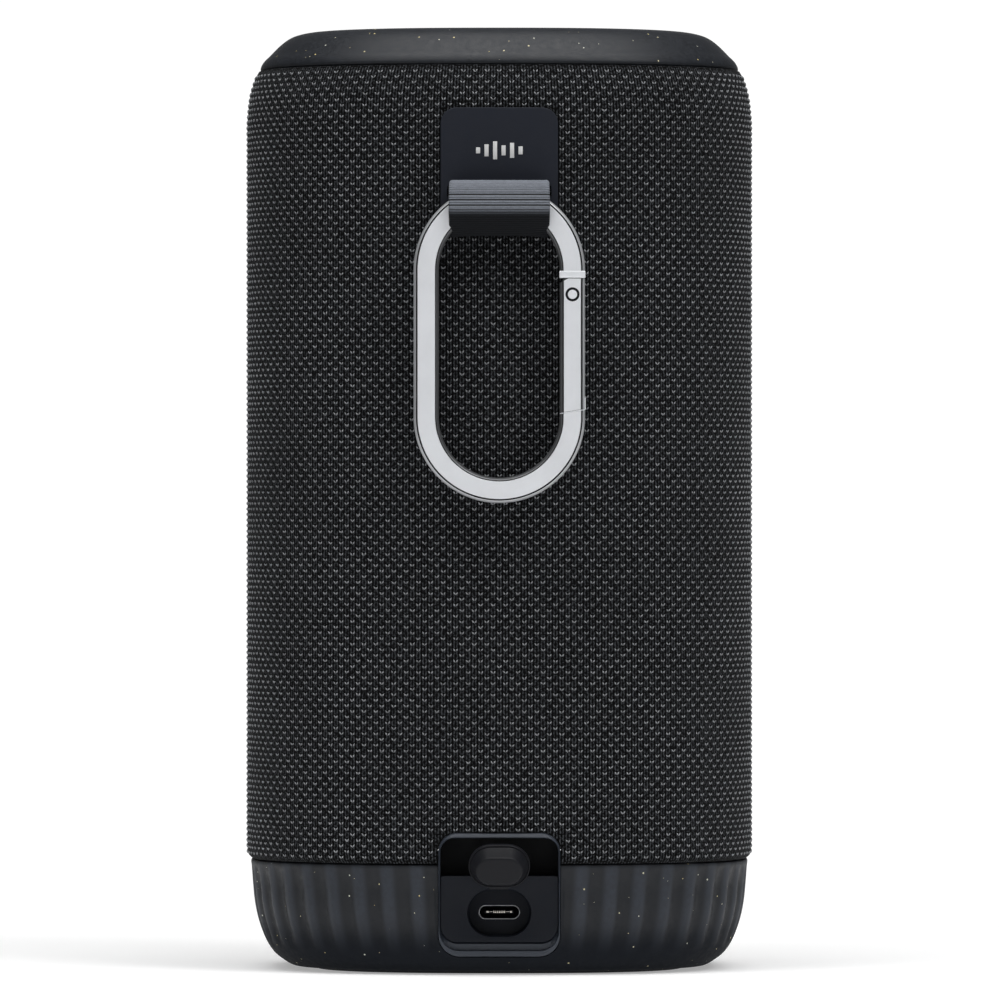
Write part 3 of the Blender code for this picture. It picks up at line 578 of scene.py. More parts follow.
def stitches(name, on_back):
    """The bright V of every stitch on one half of the sleeve, as pairs of short yarn lozenges."""
    half_length, half_wide, half_thick = 0.39 * MM, 0.165 * MM, 0.15 * MM
    low_z, high_z = sleeve_low.z + 0.2 * MM, sleeve_high.z - 0.3 * MM
    runs, heights = [], []
    for column in range(-COLUMN_PAIRS, COLUMN_PAIRS):
        start = ROW_PHASE + 0.5 * ROW * (column % 2)
        z = np.arange(start - ROW * math.floor((start - low_z) / ROW), high_z, ROW)
        heights.append(z)
        runs.append(np.full(len(z), column * COLUMN))
    middle, along, up, out = sleeve_points(np.concatenate(runs), np.concatenate(heights), 0.10 * MM)
    keep = ~in_keepouts(middle) & ((middle[:, 1] < 0) == on_back)
    middle, along, up, out = (item[keep] for item in (middle, along, up, out))
    count = len(middle)

    def scatter(mean, spread):
        return rng.normal(mean, spread, count)[:, None]

    verts = []
    for side in (-1, 1):
        lean = np.radians(scatter(35, 4.5)) * side
        centre = middle + along * (0.255 * MM * side) + along * scatter(0, 0.025 * MM)
        centre = centre + up * scatter(0, 0.03 * MM)
        length = up * np.cos(lean) + along * np.sin(lean)
        width = along * np.cos(lean) - up * np.sin(lean)
        reach = length * half_length * scatter(1.0, 0.06)
        verts.append(np.stack([
            centre + reach + out * 0.05 * MM, centre - reach,
            centre + width * half_wide, centre - width * half_wide,
            centre + out * half_thick, centre - out * half_thick,
        ], axis=1))
    verts = np.concatenate(verts).reshape(-1, 3)
    ring = (0, 2, 1, 3)
    sides = list(zip(ring, ring[1:] + ring[:1]))
    lozenge = np.array([(a, b, 4) for a, b in sides] + [(b, a, 5) for a, b in sides])
    faces = (lozenge[None] + 6 * np.arange(2 * count)[:, None, None]).reshape(-1, 3)
    return new_object(name, verts, faces.tolist())


def port_cutter(name):
    """A rounded block that runs through the back wall where the port sits."""
    margin = 0.12 * MM
    outline = rounded_rect(bezel_low.x - margin, bezel_high.x + margin, bezel_low.z - margin,
                           bezel_high.z + margin, 4 * MM, 4.4 * MM)
    return prism(name, outline, (-70 * MM, -37.2 * MM))


def key_cutter(half_x, half_z, middle, front):
    """A straight prism a little larger than a key's bar, right through the sleeve's wall."""
    gap = 0.15 * MM
    corner = min(half_x, half_z) * KEY_ROUND + gap
    outline = rounded_rect(-half_x - gap, half_x + gap, middle - half_z - gap, middle + half_z + gap,
                           corner, corner, 6)
    return prism("key_cutter", outline, (front + 1.0 * MM, front - 4.5 * MM))


def make_sleeve(ground, yarn):
    inner = SLEEVE_OUTLINE[::-1] - (SLEEVE_WALL, 0)
    inner[0, 0] += 0.4 * MM
    lip = SLEEVE_OUTLINE[-1] - (0.55 * MM, 0.05 * MM)
    sleeve = wrap_grid("knit_sleeve", np.vstack([SLEEVE_OUTLINE, lip, inner]), 3 * 128, closed=True)
    carve(sleeve, port_cutter("sleeve_port"))
    for node in VOLUME_KEYS:
        bars, middle = key_bars(node)
        for half_x, half_z in bars:
            carve(sleeve, key_cutter(half_x, half_z, middle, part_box(node)[1].y))
    settle(sleeve, "housing", "speaker_knit", ground, replaces=("fabric_sleeve",))
    for name, on_back in (("knit_stitches_back", True), ("knit_stitches_front", False)):
        settle(stitches(name, on_back), "housing", "speaker_knit", yarn)


# ---------------------------------------------------------------- casing

BASE_FLANK = spline(metres([
    (38.5, 0), (41.5, 0), (42.6, 0.25), (43.8, 0.95), (45.7, 2.4), (47.2, 4.4), (48.4, 7.0), (49.4, 10.2),
    (50.0, 13.4), (50.35, 17.0),
], z=base_low.z), 4)
BASE_TOP = base_high.z / MM
BASE_EDGE = metres([
    (50.56, BASE_TOP - 1.6), (50.62, BASE_TOP - 0.9), (50.66, BASE_TOP - 0.5), (50.62, BASE_TOP - 0.2),
    (50.45, BASE_TOP),
])
BASE_OUTLINE = np.vstack([BASE_FLANK, BASE_EDGE])


def eased(value):
    """From 0 to 1 with level ends."""
    value = np.clip(value, 0, 1)
    return value * value * (3 - 2 * value)


def make_base(plastic):
    """The cup, with flutes that fade out at its foot, at its top edge and beside the port."""
    inside = metres([(48.4, BASE_TOP), (47.4, 12.0), (45.0, 6.0), (41.0, 3.3)])
    stations = np.vstack([BASE_OUTLINE, inside])

    def flutes(run, row):
        if row >= len(BASE_OUTLINE):
            return 0.0
        z = stations[row, 1]
        fade = eased((z - (base_low.z + 3.6 * MM)) / (4.5 * MM))
        fade = fade * eased((base_high.z - 0.6 * MM - z) / (3.0 * MM))
        place = (np.abs(run) - FLUTE_FIRST) / FLUTE_PITCH
        wave = 0.5 - 0.5 * np.cos(2 * np.pi * place)
        near_port = np.clip((np.abs(run) - 12.6 * MM) / (1.2 * MM), 0, 1)
        return -FLUTE_DEPTH * fade * wave * near_port

    cup = wrap_grid("base_shell", stations, 9 * 128, shape=flutes)
    carve(cup, port_cutter("base_port"))
    settle(cup, "housing", "shell_plastic", plastic, replaces=("base_cup",))


def make_foot(rubber):
    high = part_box("foot_pad")[1]
    sole = metres([(-9, 0.45), (-8.4, 0.35), (-8, 0.0), (-0.9, 0.0), (-0.3, 0.25), (0, 0.8)], high.x)
    pad = wrap_grid("foot_pad_rubber", np.vstack([sole, (high.x, high.z)]), 256)
    settle(pad, "housing", "foot_rubber", rubber, replaces=("foot_pad",))


CAP_TOP = cap_high.z
CAP_OUTLINE = spline(metres([
    (48.55, -7.9), (48.75, -7.3), (48.35, -6.35), (47.75, -5.6), (46.95, -4.85), (45.9, -3.75), (44.7, -2.6),
    (43.2, -1.45), (41.6, -0.72), (39.4, -0.25), (36.5, -0.05),
], z=CAP_TOP), 4)


def key_centre(node):
    low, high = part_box(node)
    return (low.x + high.x) / 2, (low.y + high.y) / 2


def make_cap(plastic):
    """The hollow top with its shallow dish, and a round hole for each key."""
    skirt = np.array([(46.5 * MM, cap_low.z), (46.5 * MM, CAP_TOP - 8.0 * MM)])
    dish = metres([(30.0, 0.0), (29.2, -0.06), (28.5, -0.3), (20.0, -0.32)], z=CAP_TOP)
    inside = metres([(20.0, -2.5), (41.5, -3.6), (44.0, -6.4), (44.1, -16.0)], z=CAP_TOP)
    cap = wrap_grid("top_cap_shell", np.vstack([skirt, CAP_OUTLINE, dish]), 384)
    carve(cap, wrap_grid("cap_inside", inside, 96))
    hole_radius = 6.35 * MM
    for node in TOP_KEYS:
        profile = [(hole_radius, CAP_TOP - 20 * MM), (hole_radius, CAP_TOP + 10 * MM)]
        carve(cap, lathe(f"{node}_hole", profile, (*key_centre(node), 0), "Z"))
    settle(cap, "housing", "shell_plastic", plastic, replaces=("top_cap",))


def make_top_keys(rubber, mark):
    for node in TOP_KEYS:
        low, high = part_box(node)
        x, y = key_centre(node)
        key_top = high.z - 0.1 * MM
        collar = metres([(7.3, 1.4), (7.3, 2.3), (6.0, 2.35)], z=low.z)
        crown = [(6.0, -0.75), (5.85, -0.3), (5.5, -0.08), (4.9, 0.0), (3.9, -0.16), (2.0, -0.28)]
        key = lathe(f"{node}_top", np.vstack([collar, metres(crown, z=key_top)]), (x, y, 0), "Z", 64, 60)
        settle(key, node, "key_rubber", rubber, replaces=(node,))
        for glyph in key_glyph(node, x, y, key_top - 0.28 * MM):
            settle(glyph, node, "key_rubber", mark)


def tube(name, points, radius, cyclic=False):
    """A thin round line through points, as a mesh."""
    curve = bpy.data.curves.new(name, "CURVE")
    curve.dimensions = "3D"
    curve.bevel_depth = radius
    curve.bevel_resolution = 3
    curve.use_fill_caps = not cyclic
    line = curve.splines.new("POLY")
    line.points.add(len(points) - 1)
    line.use_cyclic_u = cyclic
    for point, place in zip(line.points, points):
        point.co = (*place, 1)
    drawn = linked(name + "_line", curve)
    graph = bpy.context.evaluated_depsgraph_get()
    mesh = bpy.data.meshes.new_from_object(drawn.evaluated_get(graph))
    bpy.data.objects.remove(drawn)
    mesh.name = name
    mesh.shade_smooth()
    return linked(name, mesh)


def key_glyph(body, x, y, z):
    """A raised line mark on a key: a power ring, a pair of linked rings, or sound arcs."""
    line = 0.16 * MM

    def ring(name, radius, start, end, cx=0.0, cy=0.0):
        run = arc(x + cx, y + cy, radius, start, end, 28)
        return tube(name, [(px, py, z) for px, py in run], line)

    if body == "power_key":
        bar = tube("power_mark_bar", [(x, y + 0.5 * MM, z), (x, y + 2.1 * MM, z)], line)
        return [ring("power_mark_ring", 1.75 * MM, 125, 415), bar]
    if body == "pairing_key":
        return [ring("pair_mark_left", 1.1 * MM, 40, 320, -0.75 * MM),
                ring("pair_mark_right", 1.1 * MM, -140, 140, 0.75 * MM)]
    return [ring(f"boost_mark_{i}", (0.7 + 0.75 * i) * MM, -55, 55, -1.2 * MM) for i in range(3)]


def make_volume_keys(rubber):
    """The plus and minus in the front, crowned and following the body's curve."""
    for node, body in VOLUME_KEYS.items():
        bars, middle = key_bars(node)
        piece = None
        for half_x, half_z in bars:
            bar = crowned_bar(f"{node}_bar", half_x, half_z, middle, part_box(node)[1].y)
            piece = bar if piece is None else carve(piece, bar, "UNION")
        piece.name = f"{node}_pad"
        piece.data.shade_smooth()
        piece.data.set_sharp_from_angle(angle=math.radians(60))
        settle(piece, body, "key_rubber", rubber, replaces=(node,))


def crowned_bar(name, half_x, half_z, middle, front):
    corner = min(half_x, half_z) * KEY_ROUND
    levels = ((0.0, -3.4), (0.0, -0.55), (0.08, -0.3), (0.3, -0.08), (0.7, 0.0), (1.2, -0.02))
    rings = crowned_rings(-half_x, half_x, middle - half_z, middle + half_z, corner, corner, levels, 8, 6)
    loops = [upright(ring, front + height * MM - bend_at(ring[:, 0])) for ring, height in rings]
    return skin_loops(name, loops)


# ---------------------------------------------------------------- back: patch, strap and hook

def bend_at(x):
    """How far the body's long side falls back at x, from its middle."""
    return HALF_DEPTH * (1 - (1 - np.abs(np.asarray(x) / HALF_WIDTH) ** SECTION_POWER) ** (1 / SECTION_POWER))


def closing_rings(outline, levels):
    """The outline drawn in towards its middle, so that a bent face has even quads."""
    middle = (outline.max(0) + outline.min(0)) / 2
    return [middle + (outline - middle) * share for share in np.linspace(1, 0.015, levels)[1:]]


def crowned_rings(left, right, low, high, top_radius, low_radius, levels, closing, steps):
    """Outlines drawn in by each level's inset, with their heights, and then closed over the middle."""
    least = 0.2 * MM
    rings = []
    for inset, height in levels:
        inset *= MM
        outline = rounded_rect(left + inset, right - inset, low + inset, high - inset,
                               max(top_radius - inset, least), max(low_radius - inset, least), steps)
        rings.append((outline, height))
    return rings + [(inner, levels[-1][1]) for inner in closing_rings(outline, closing)]


def make_patch(rubber, mark):
    """The bent label with the strap's slit, and a generic mark of six raised bars."""
    face = -patch_low.y
    levels = ((0.0, -0.5), (0.0, -0.12), (0.06, -0.04), (0.16, 0.0), (0.3, 0.0))
    rings = crowned_rings(patch_low.x, patch_high.x, patch_low.z, patch_high.z, 3.2 * MM, 1.5 * MM, levels,
                          14, 10)
    loops = [upright(ring, bend_at(ring[:, 0]) - face - height * MM) for ring, height in rings]
    patch = skin_loops("patch_label", loops, sharp=50)
    slit = bevelled_box("patch_slit", (-SLIT_HALF, -face - 2 * MM, SLIT_LOW),
                        (SLIT_HALF, -face + 2 * MM, SLIT_HIGH), 0.2 * MM)
    carve(patch, slit)
    settle(patch, "housing", "patch_rubber", rubber, replaces=("rear_patch",))
    bar_heights = (1.2, 2.4, 3.6, 2.0, 3.0, 1.6)
    pitch, half_bar = 1.7 * MM, 0.42 * MM
    centre_z = patch_high.z - 8.6 * MM
    for index, height in enumerate(bar_heights):
        x = (index - (len(bar_heights) - 1) / 2) * pitch
        depth = face - float(bend_at(x))
        half_height = height / 2 * MM
        low = (x - half_bar, -depth - 0.05 * MM, centre_z - half_height)
        high = (x + half_bar, -depth + 0.1 * MM, centre_z + half_height)
        bar = bevelled_box(f"patch_mark_{index + 1}", low, high, 0.04 * MM, 2)
        settle(bar, "housing", "patch_rubber", mark)


SLIT_HALF = 10.45 * MM
SLIT_LOW, SLIT_HIGH = 155.9 * MM, 158.1 * MM
STRAP_OUTLINE = metres([
    (55.5, 153.6), (55.25, 154.8), (54.75, 156.2), (54.1, 157.6), (53.2, 158.45), (52.0, 159.0),
    (50.6, 159.05), (49.0, 158.9), (47.95, 158.4), (47.52, 157.2), (47.5, 155.0), (47.6, 152.6),
    (48.0, 150.4), (48.8, 148.8),
    (49.9, 148.15), (51.3, 148.4), (53.0, 149.8), (54.5, 151.5), (55.3, 152.7),
])
STRAP_HALF = 10.1 * MM
STRAP_THICK = 0.66 * MM
ROOT_OUTLINE = metres([
    (46.6, 157.62), (48.2, 158.15), (49.5, 158.58), (50.3, 158.7), (50.9, 158.5), (51.1, 158.0),
    (50.85, 157.5), (50.2, 157.3), (49.0, 157.0), (47.8, 156.6), (46.6, 156.38),
])
ROOT_HALF = 9.55 * MM


def smooth_outline(points, per_span):
    """A closed smooth outline through the points."""
    return spline(np.vstack([points, points[:1]]), per_span)[:-1]


def make_root(webbing):
    """The doubled tail of the webbing, from the patch's slit to the line that the hook swings about."""
    outline = smooth_outline(ROOT_OUTLINE, 6)
    steps = np.hypot(*(np.roll(outline, -1, axis=0) - outline).T)
    turns = np.concatenate([[0], np.cumsum(steps)]) / MM
    across = np.linspace(-ROOT_HALF, ROOT_HALF, 31)
    loops = [np.column_stack([np.full(len(outline), x), -outline[:, 0], outline[:, 1]]) for x in across]
    root = skin_loops("webbing_root", loops, uvs=(turns, across / MM), sharp=60)
    settle(root, "housing", "webbing", webbing)


def make_loop(webbing):
    """The ribbed strap as a band in the YZ plane, with raised ribs across it and soft rolled sides."""
    outer = resampled(smooth_outline(STRAP_OUTLINE, 12), 620)
    steps = np.roll(outer, -1, axis=0) - np.roll(outer, 1, axis=0)
    out = np.column_stack([steps[:, 1], -steps[:, 0]])
    out /= np.linalg.norm(out, axis=1)[:, None]
    middle = outer.mean(0)
    if np.sum(out * (outer - middle)) < 0:
        out = -out
    length = np.hypot(*(np.roll(outer, -1, axis=0) - outer).T)
    whole = length.sum()
    run = np.concatenate([[0], np.cumsum(length)])[:-1]
    ribs = round(whole / FINE_RIB)
    fine = np.abs(np.sin(np.pi * ribs * run / whole))
    bold = np.exp(-np.abs((outer[:, 1] - BOLD_FOOT - BOLD_RIB) / (1.3 * MM)) ** 4) * (outer[:, 0] > middle[0])
    ridge = np.abs(np.sin(np.pi * (outer[:, 1] - BOLD_FOOT) / BOLD_RIB)) ** 0.5
    rib_lift = (0.07 * fine * (1 - bold) + 0.22 * bold * (ridge - 0.8)) * MM
    hem = np.array([0.0, 0.08, 0.22, 0.5]) * MM
    across = np.concatenate([hem - STRAP_HALF, np.linspace(-STRAP_HALF + 1 * MM, STRAP_HALF - 1 * MM, 41),
                             STRAP_HALF - hem[::-1]])
    narrow = 0.965 + 0.035 * (outer[:, 0] - outer[:, 0].min()) / np.ptp(outer[:, 0])
    droop = np.clip((outer[:, 1].min() + 3 * MM - outer[:, 1]) / (3 * MM), 0, 1)
    odd_rib = np.floor(ribs * run / whole) % 2

    def band(x, side):
        soft = float(np.clip((STRAP_HALF - abs(x)) / (0.5 * MM), 0, 1))
        rolled = (1 - math.sqrt(1 - (1 - soft) ** 2)) * 0.3 * MM
        sag = 0.4 * MM * (abs(x) / STRAP_HALF) ** 3 * droop
        weave = 0.012 * MM * np.sin(x / MM * 9.0 + np.pi * odd_rib)
        lift = rib_lift * soft - rolled + weave if side > 0 else rolled - STRAP_THICK
        place = outer + out * np.broadcast_to(lift, len(outer))[:, None]
        return np.column_stack([x * narrow, -place[:, 0], place[:, 1] - sag])

    loops = [band(x, 1) for x in across] + [band(x, -1) for x in across[::-1]]
    turns = np.append(run, whole) / MM
    rows = np.arange(len(loops) + 1.0)
    strap = skin_loops("webbing_strap", loops, NO_ENDS, closed_rows=True, uvs=(turns, rows))
    settle(strap, "snap_hook", "webbing", webbing, replaces=("webbing_loop",))


def hook_section():
    """The bar's cross-section as (across, towards the viewer) with the look of each side."""
    wide, thick = BAR_HALF, 2.15
    front = [
        (-wide, 0.0, SIDE), (-wide, 0.95, SIDE), (-2.42, 1.4, SIDE), (-2.2, 1.72, SIDE),
        (-1.97, 1.86, GROOVE), (-1.88, 1.62, GROOVE), (-1.78, 1.98, FACE), (-1.68, thick, FACE),
        (1.64, thick, FACE),
        (1.74, 1.94, GROOVE), (1.9, 1.56, GROOVE), (2.04, 1.84, EDGE), (2.24, 1.7, EDGE), (2.44, 1.38, EDGE),
        (wide, 0.95, EDGE),
    ]
    swap = {FACE: FACE, SIDE: EDGE, GROOVE: GROOVE, EDGE: SIDE}
    rear = [(-x, -y, swap[look]) for x, y, look in front]
    return front + rear


def sweep_hook(name, path, normals, slant_start=0.0):
    """The bar swept along a path of (x, z), cut on a slant at its end. Normals point out of the ring."""
    shape = hook_section()
    slopes = [slant_start] + [0.0] * (len(path) - 2) + [SEAM_SLOPE]
    loops = [[(x + nx * across * MM, HOOK_Y - forward * MM, z + nz * across * MM + slope * across * MM)
              for across, forward, _ in shape]
             for (x, z), (nx, nz), slope in zip(path, normals, slopes)]
    obj = skin_loops(name, loops, sharp=BAR_SHARP)
    for index, polygon in enumerate(obj.data.polygons[:(len(path) - 1) * len(shape)]):
        polygon.material_index = shape[index % len(shape)][2]
    return obj


# Looks of the bar: FACE is its own bright face; SIDE, the inner shoulder, is darkened as a painted dark
# reflection; GROOVE is near black as painted shade; EDGE, the outer shoulder, is lightened as a painted
# reflection of the bright surroundings.
FACE, SIDE, GROOVE, EDGE = range(4)
BAR_HALF = 2.525
BAR_SHARP = 14
HOOK_Y = (hook_low.y + hook_high.y) / 2
RING_OUTER = hook_high.x
RING_MIDDLE = RING_OUTER - BAR_HALF * MM
ARC_LOW = hook_low.z + RING_OUTER
ARC_HIGH = hook_high.z - RING_OUTER
SEAM_Z = 112.8 * MM
COLLAR_LOW = gate_high.z + 0.25 * MM
COLLAR_HIGH = COLLAR_LOW + 1.4 * MM
SEAM_SLOPE = 0.8 / 5.05
GATE_SWING = math.radians(28)
PIN_X, _, PIN_Z = JOINTS["gate_hinge"]["pos_m"]


def gate_corner():
    """The inner top corner of the gate, which would meet the collar when the gate is fully open."""
    top = COLLAR_LOW - 0.1 * MM - PIN_Z
    left, right, above = -3.2 * MM, 1.0 * MM, 6 * MM
    outline = [(PIN_X + across, PIN_Z + top / math.cos(GATE_SWING) + across * math.tan(GATE_SWING))
               for across in (left, right)]
    outline += [(PIN_X + right, PIN_Z + above), (PIN_X + left, PIN_Z + above)]
    return prism("gate_corner", np.array(outline), (HOOK_Y - 3 * MM, HOOK_Y + 3 * MM))


def make_ring(looks, polish_and_highlight):
    """The C-shaped bar from the collar round to the seam, with the collar and the gate's tongue."""
    top = arc(0, ARC_HIGH, RING_MIDDLE, 0, 180, 60)
    bottom = arc(0, ARC_LOW, RING_MIDDLE, 180, 360, 60)
    path = np.vstack([[(RING_MIDDLE, COLLAR_HIGH - 0.1 * MM)], top, bottom, [(RING_MIDDLE, SEAM_Z)]])
    turns = [np.radians(np.linspace(start, start + 180, 61)) for start in (0, 180)]
    angle = np.concatenate([[0], *turns, [0]])
    ring = sweep_hook("hook_ring", path, np.column_stack([np.cos(angle), np.sin(angle)]))
    settle(ring, "snap_hook", "hook_aluminium", *looks, replaces=("carabiner_frame",))
    collar = bevelled_box("hook_collar", (RING_MIDDLE - 2.6 * MM, HOOK_Y - 2.2 * MM, COLLAR_LOW),
                          (RING_MIDDLE + 2.6 * MM, HOOK_Y + 2.2 * MM, COLLAR_HIGH), 0.18 * MM)
    settle(collar, "snap_hook", "hook_aluminium", polish_and_highlight)
    half, root = 1.9 * MM, COLLAR_LOW + 0.3 * MM
    outline = np.vstack([arc(PIN_X, PIN_Z, half, 180, 360, 20), [(PIN_X + half, root), (PIN_X - half, root)]])
    tongue = prism("hook_tongue", outline, (HOOK_Y - 0.8 * MM, HOOK_Y + 0.8 * MM), sharp=40)
    # The tongue takes the darker inner-shoulder copy, a painted dark reflection.
    settle(tongue, "snap_hook", "hook_aluminium", looks[SIDE])


def make_gate(looks):
    """The straight bar that swings, forked for the tongue and bored for the pin."""
    steps = 12
    heights = np.linspace(gate_high.z + 0.12 * MM, SEAM_Z + 0.3 * MM, steps)
    path = np.column_stack([np.full(steps, RING_MIDDLE), heights])
    gate = sweep_hook("hook_gate", path, [(1.0, 0.0)] * steps)
    fork = bevelled_box("gate_fork", (RING_MIDDLE - 4 * MM, HOOK_Y - 1.1 * MM, PIN_Z - 2.3 * MM),
                        (RING_MIDDLE + 4 * MM, HOOK_Y + 1.1 * MM, PIN_Z + 6 * MM), 0.05 * MM, 1)
    bore = lathe("gate_bore", [(1.42 * MM, -3 * MM), (1.42 * MM, 3 * MM)], (PIN_X, HOOK_Y, PIN_Z), "-Y", 32)
    for cutter in (fork, gate_corner(), bore):
        carve(gate, cutter, sharp=BAR_SHARP)
    for polygon in gate.data.polygons:
        lateral = polygon.center.x - RING_MIDDLE
        outward = abs(polygon.center.y - HOOK_Y) > 1.5 * MM
        if outward and abs(polygon.normal.y) > 0.99:
            look = FACE
        elif outward and 1.76 * MM < abs(lateral) < 2.0 * MM:
            look = GROOVE
        else:
            look = EDGE if lateral > 0 else SIDE
        polygon.material_index = look
    settle(gate, "gate", "hook_aluminium", *looks, replaces=("carabiner_gate",))


def make_seam(polish_and_highlight):
    """A thin bright plate that paints the highlight on the line where the gate meets the bar, and the nose
    beside it.
    """
    low = SEAM_Z + 0.03 * MM
    path = [(RING_MIDDLE, low), (RING_MIDDLE, low + 0.2 * MM)]
    seam = sweep_hook("hook_seam", path, [(1.0, 0.0)] * 2, slant_start=SEAM_SLOPE)
    settle(seam, "snap_hook", "hook_aluminium", polish_and_highlight)
    nose = bevelled_box("hook_nose", (RING_OUTER - 0.1 * MM, HOOK_Y - 1.7 * MM, SEAM_Z + 0.55 * MM),
                        (RING_OUTER + 0.12 * MM, HOOK_Y + 1.7 * MM, SEAM_Z + 2.9 * MM), 0.04 * MM, 2)
    settle(nose, "snap_hook", "hook_aluminium", polish_and_highlight)


def make_rivets(polish_and_highlight, dark):
    """The pin's two heads, each with a groove round its raised middle, whose near-black colour is painted
    shade.
    """
    half, sides = 2.15 * MM, 48
    rise = metres([(1.38, -0.5), (1.38, -0.16), (0.72, -0.18), (0.7, 0.02), (0.6, 0.08), (0.2, 0.1)], z=half)
    profile = np.vstack([(0.9 * MM, -half), rise])
    for name, way in (("rivet_back", "-Y"), ("rivet_front", "Y")):
        head = lathe(f"gate_{name}", profile, (PIN_X, HOOK_Y, PIN_Z), way, sides)
        for index, polygon in enumerate(head.data.polygons):
            polygon.material_index = int(sides <= index < 4 * sides)
        settle(head, "snap_hook", "steel", polish_and_highlight, dark, replaces=("gate_pin",) if way == "-Y" else ())


# ---------------------------------------------------------------- port

SKIN = spline(metres([
    (44.4, 1.0), (46.9, 4.0), (48.7, 7.4), (49.9, 10.5), (50.8, 14.5), (51.4, 20.0), (51.9, 24.0),
    (51.9, 34.0),
]), 8)
POCKET_Z = 20.0 * MM
PORT_LOW, PORT_HIGH = bezel_low.z + 3.0 * MM, bezel_high.z - 1.08 * MM
PORT_HALF = bezel_high.x - 0.4 * MM
PANEL_TOP_Y, PANEL_LOW_Y = -45.0 * MM, -42.9 * MM
PANEL_SLOPE = (PANEL_LOW_Y - PANEL_TOP_Y) / (POCKET_Z - PORT_LOW)
SOCKET = (0.0, (shell_low.z + shell_high.z) / 2)
SOCKET_FLOOR = shell_low.y + 0.2 * MM
PLUG_LEAN = math.radians(18)


def make_rim(plastic):
    """The raised rim on the body's skin. Each stage is an inset from the port's box and a drop."""
    low, high = bezel_low, bezel_high
    stages = (
        (0.0, 0.0, 0.0, 4.5, 4.5), (0.0, 0.0, 0.0, 0.75, 0.75), (0.03, 0.06, 0.08, 0.56, 0.3),
        (0.08, 0.2, 0.22, 0.42, 0.1), (0.14, 0.5, 0.6, 0.2, 0.0), (0.2, 0.86, 1.0, 0.0, 0.0),
        (0.26, 0.96, 1.2, 0.12, 0.14), (0.3, 1.0, 1.32, 0.8, 0.9), (0.36, 1.02, 2.6, 1.5, 1.3),
        (0.4, 1.06, 2.95, 2.2, 1.9), (0.42, 1.1, 3.05, 5.5, 5.5),
    )
    loops = []
    for side, top, bottom, top_drop, low_drop in stages:
        side, top, bottom = side * MM, top * MM, bottom * MM
        corner_top, corner_low = 3.8 * MM - top * 0.9, 4.3 * MM - bottom * 0.3
        outline = rounded_rect(low.x + side, high.x - side, low.z + bottom, high.z - top,
                               corner_top, corner_low, 14)
        share = np.clip((outline[:, 1] - low.z) / (high.z - low.z), 0, 1)
        drop = low_drop + (top_drop - low_drop) * share ** 2
        loops.append(upright(outline, -surface_depth(outline[:, 0], outline[:, 1], SKIN) + drop * MM))
    rim = skin_loops("port_rim", loops, NO_ENDS, sharp=60)
    settle(rim, "housing", "port_plastic", plastic, replaces=("port_bezel",))


def make_pocket(black):
    """The recess above the panel, where the plug folds in; its near-black colour is painted shade of a deep
    cavity.
    """
    outline = rounded_rect(-PORT_HALF, PORT_HALF, POCKET_Z - 0.6 * MM, PORT_HIGH, 2.8 * MM, 0.1 * MM, 10)
    pocket = prism("port_pocket", outline, (-41.5 * MM, -40.35 * MM, -40.0 * MM), caps=LAST_END, sharp=40)
    settle(pocket, "housing", "port_plastic", black)


def panel_y(z):
    """The depth of the leaning panel at height z."""
    return PANEL_TOP_Y + (POCKET_Z - z) * PANEL_SLOPE


def make_panel(plastic):
    """The leaning panel, with a rounded well that narrows to the socket's hole."""
    count, steps = 120, 24
    edge = rounded_rect(-PORT_HALF, PORT_HALF, PORT_LOW, POCKET_Z, 0.25 * MM, 3.4 * MM, 12)
    edge = resampled(edge, count)
    inset = np.column_stack([edge[:, 0] * 0.992, SOCKET[1] + (edge[:, 1] - SOCKET[1]) * 0.985])
    rows = [upright(edge, -40.2 * MM), upright(edge, panel_y(edge[:, 1]) + 0.12 * MM),
            upright(inset, panel_y(inset[:, 1]))]
    for grow, sink in ((0.22, 0.0), (0.08, 0.06), (0.0, 0.25)):
        mouth = resampled(stadium(6.35 * MM + grow * MM, 4.75 * MM + grow * MM, SOCKET, steps), count)
        rows.append(upright(mouth, panel_y(mouth[:, 1]) + sink * MM))
    well = ((6.3, 4.7, -0.3), (6.0, 4.4, 0.0), (4.16, 1.44, 0.0), (4.16, 1.44, 2.0))
    for half_long, half_short, deeper in well:
        outline = resampled(stadium(half_long * MM, half_short * MM, SOCKET, steps), count)
        rows.append(upright(outline, SOCKET_FLOOR + deeper * MM))
    settle(skin_loops("port_panel", rows, NO_ENDS, sharp=40), "housing", "port_plastic", plastic)


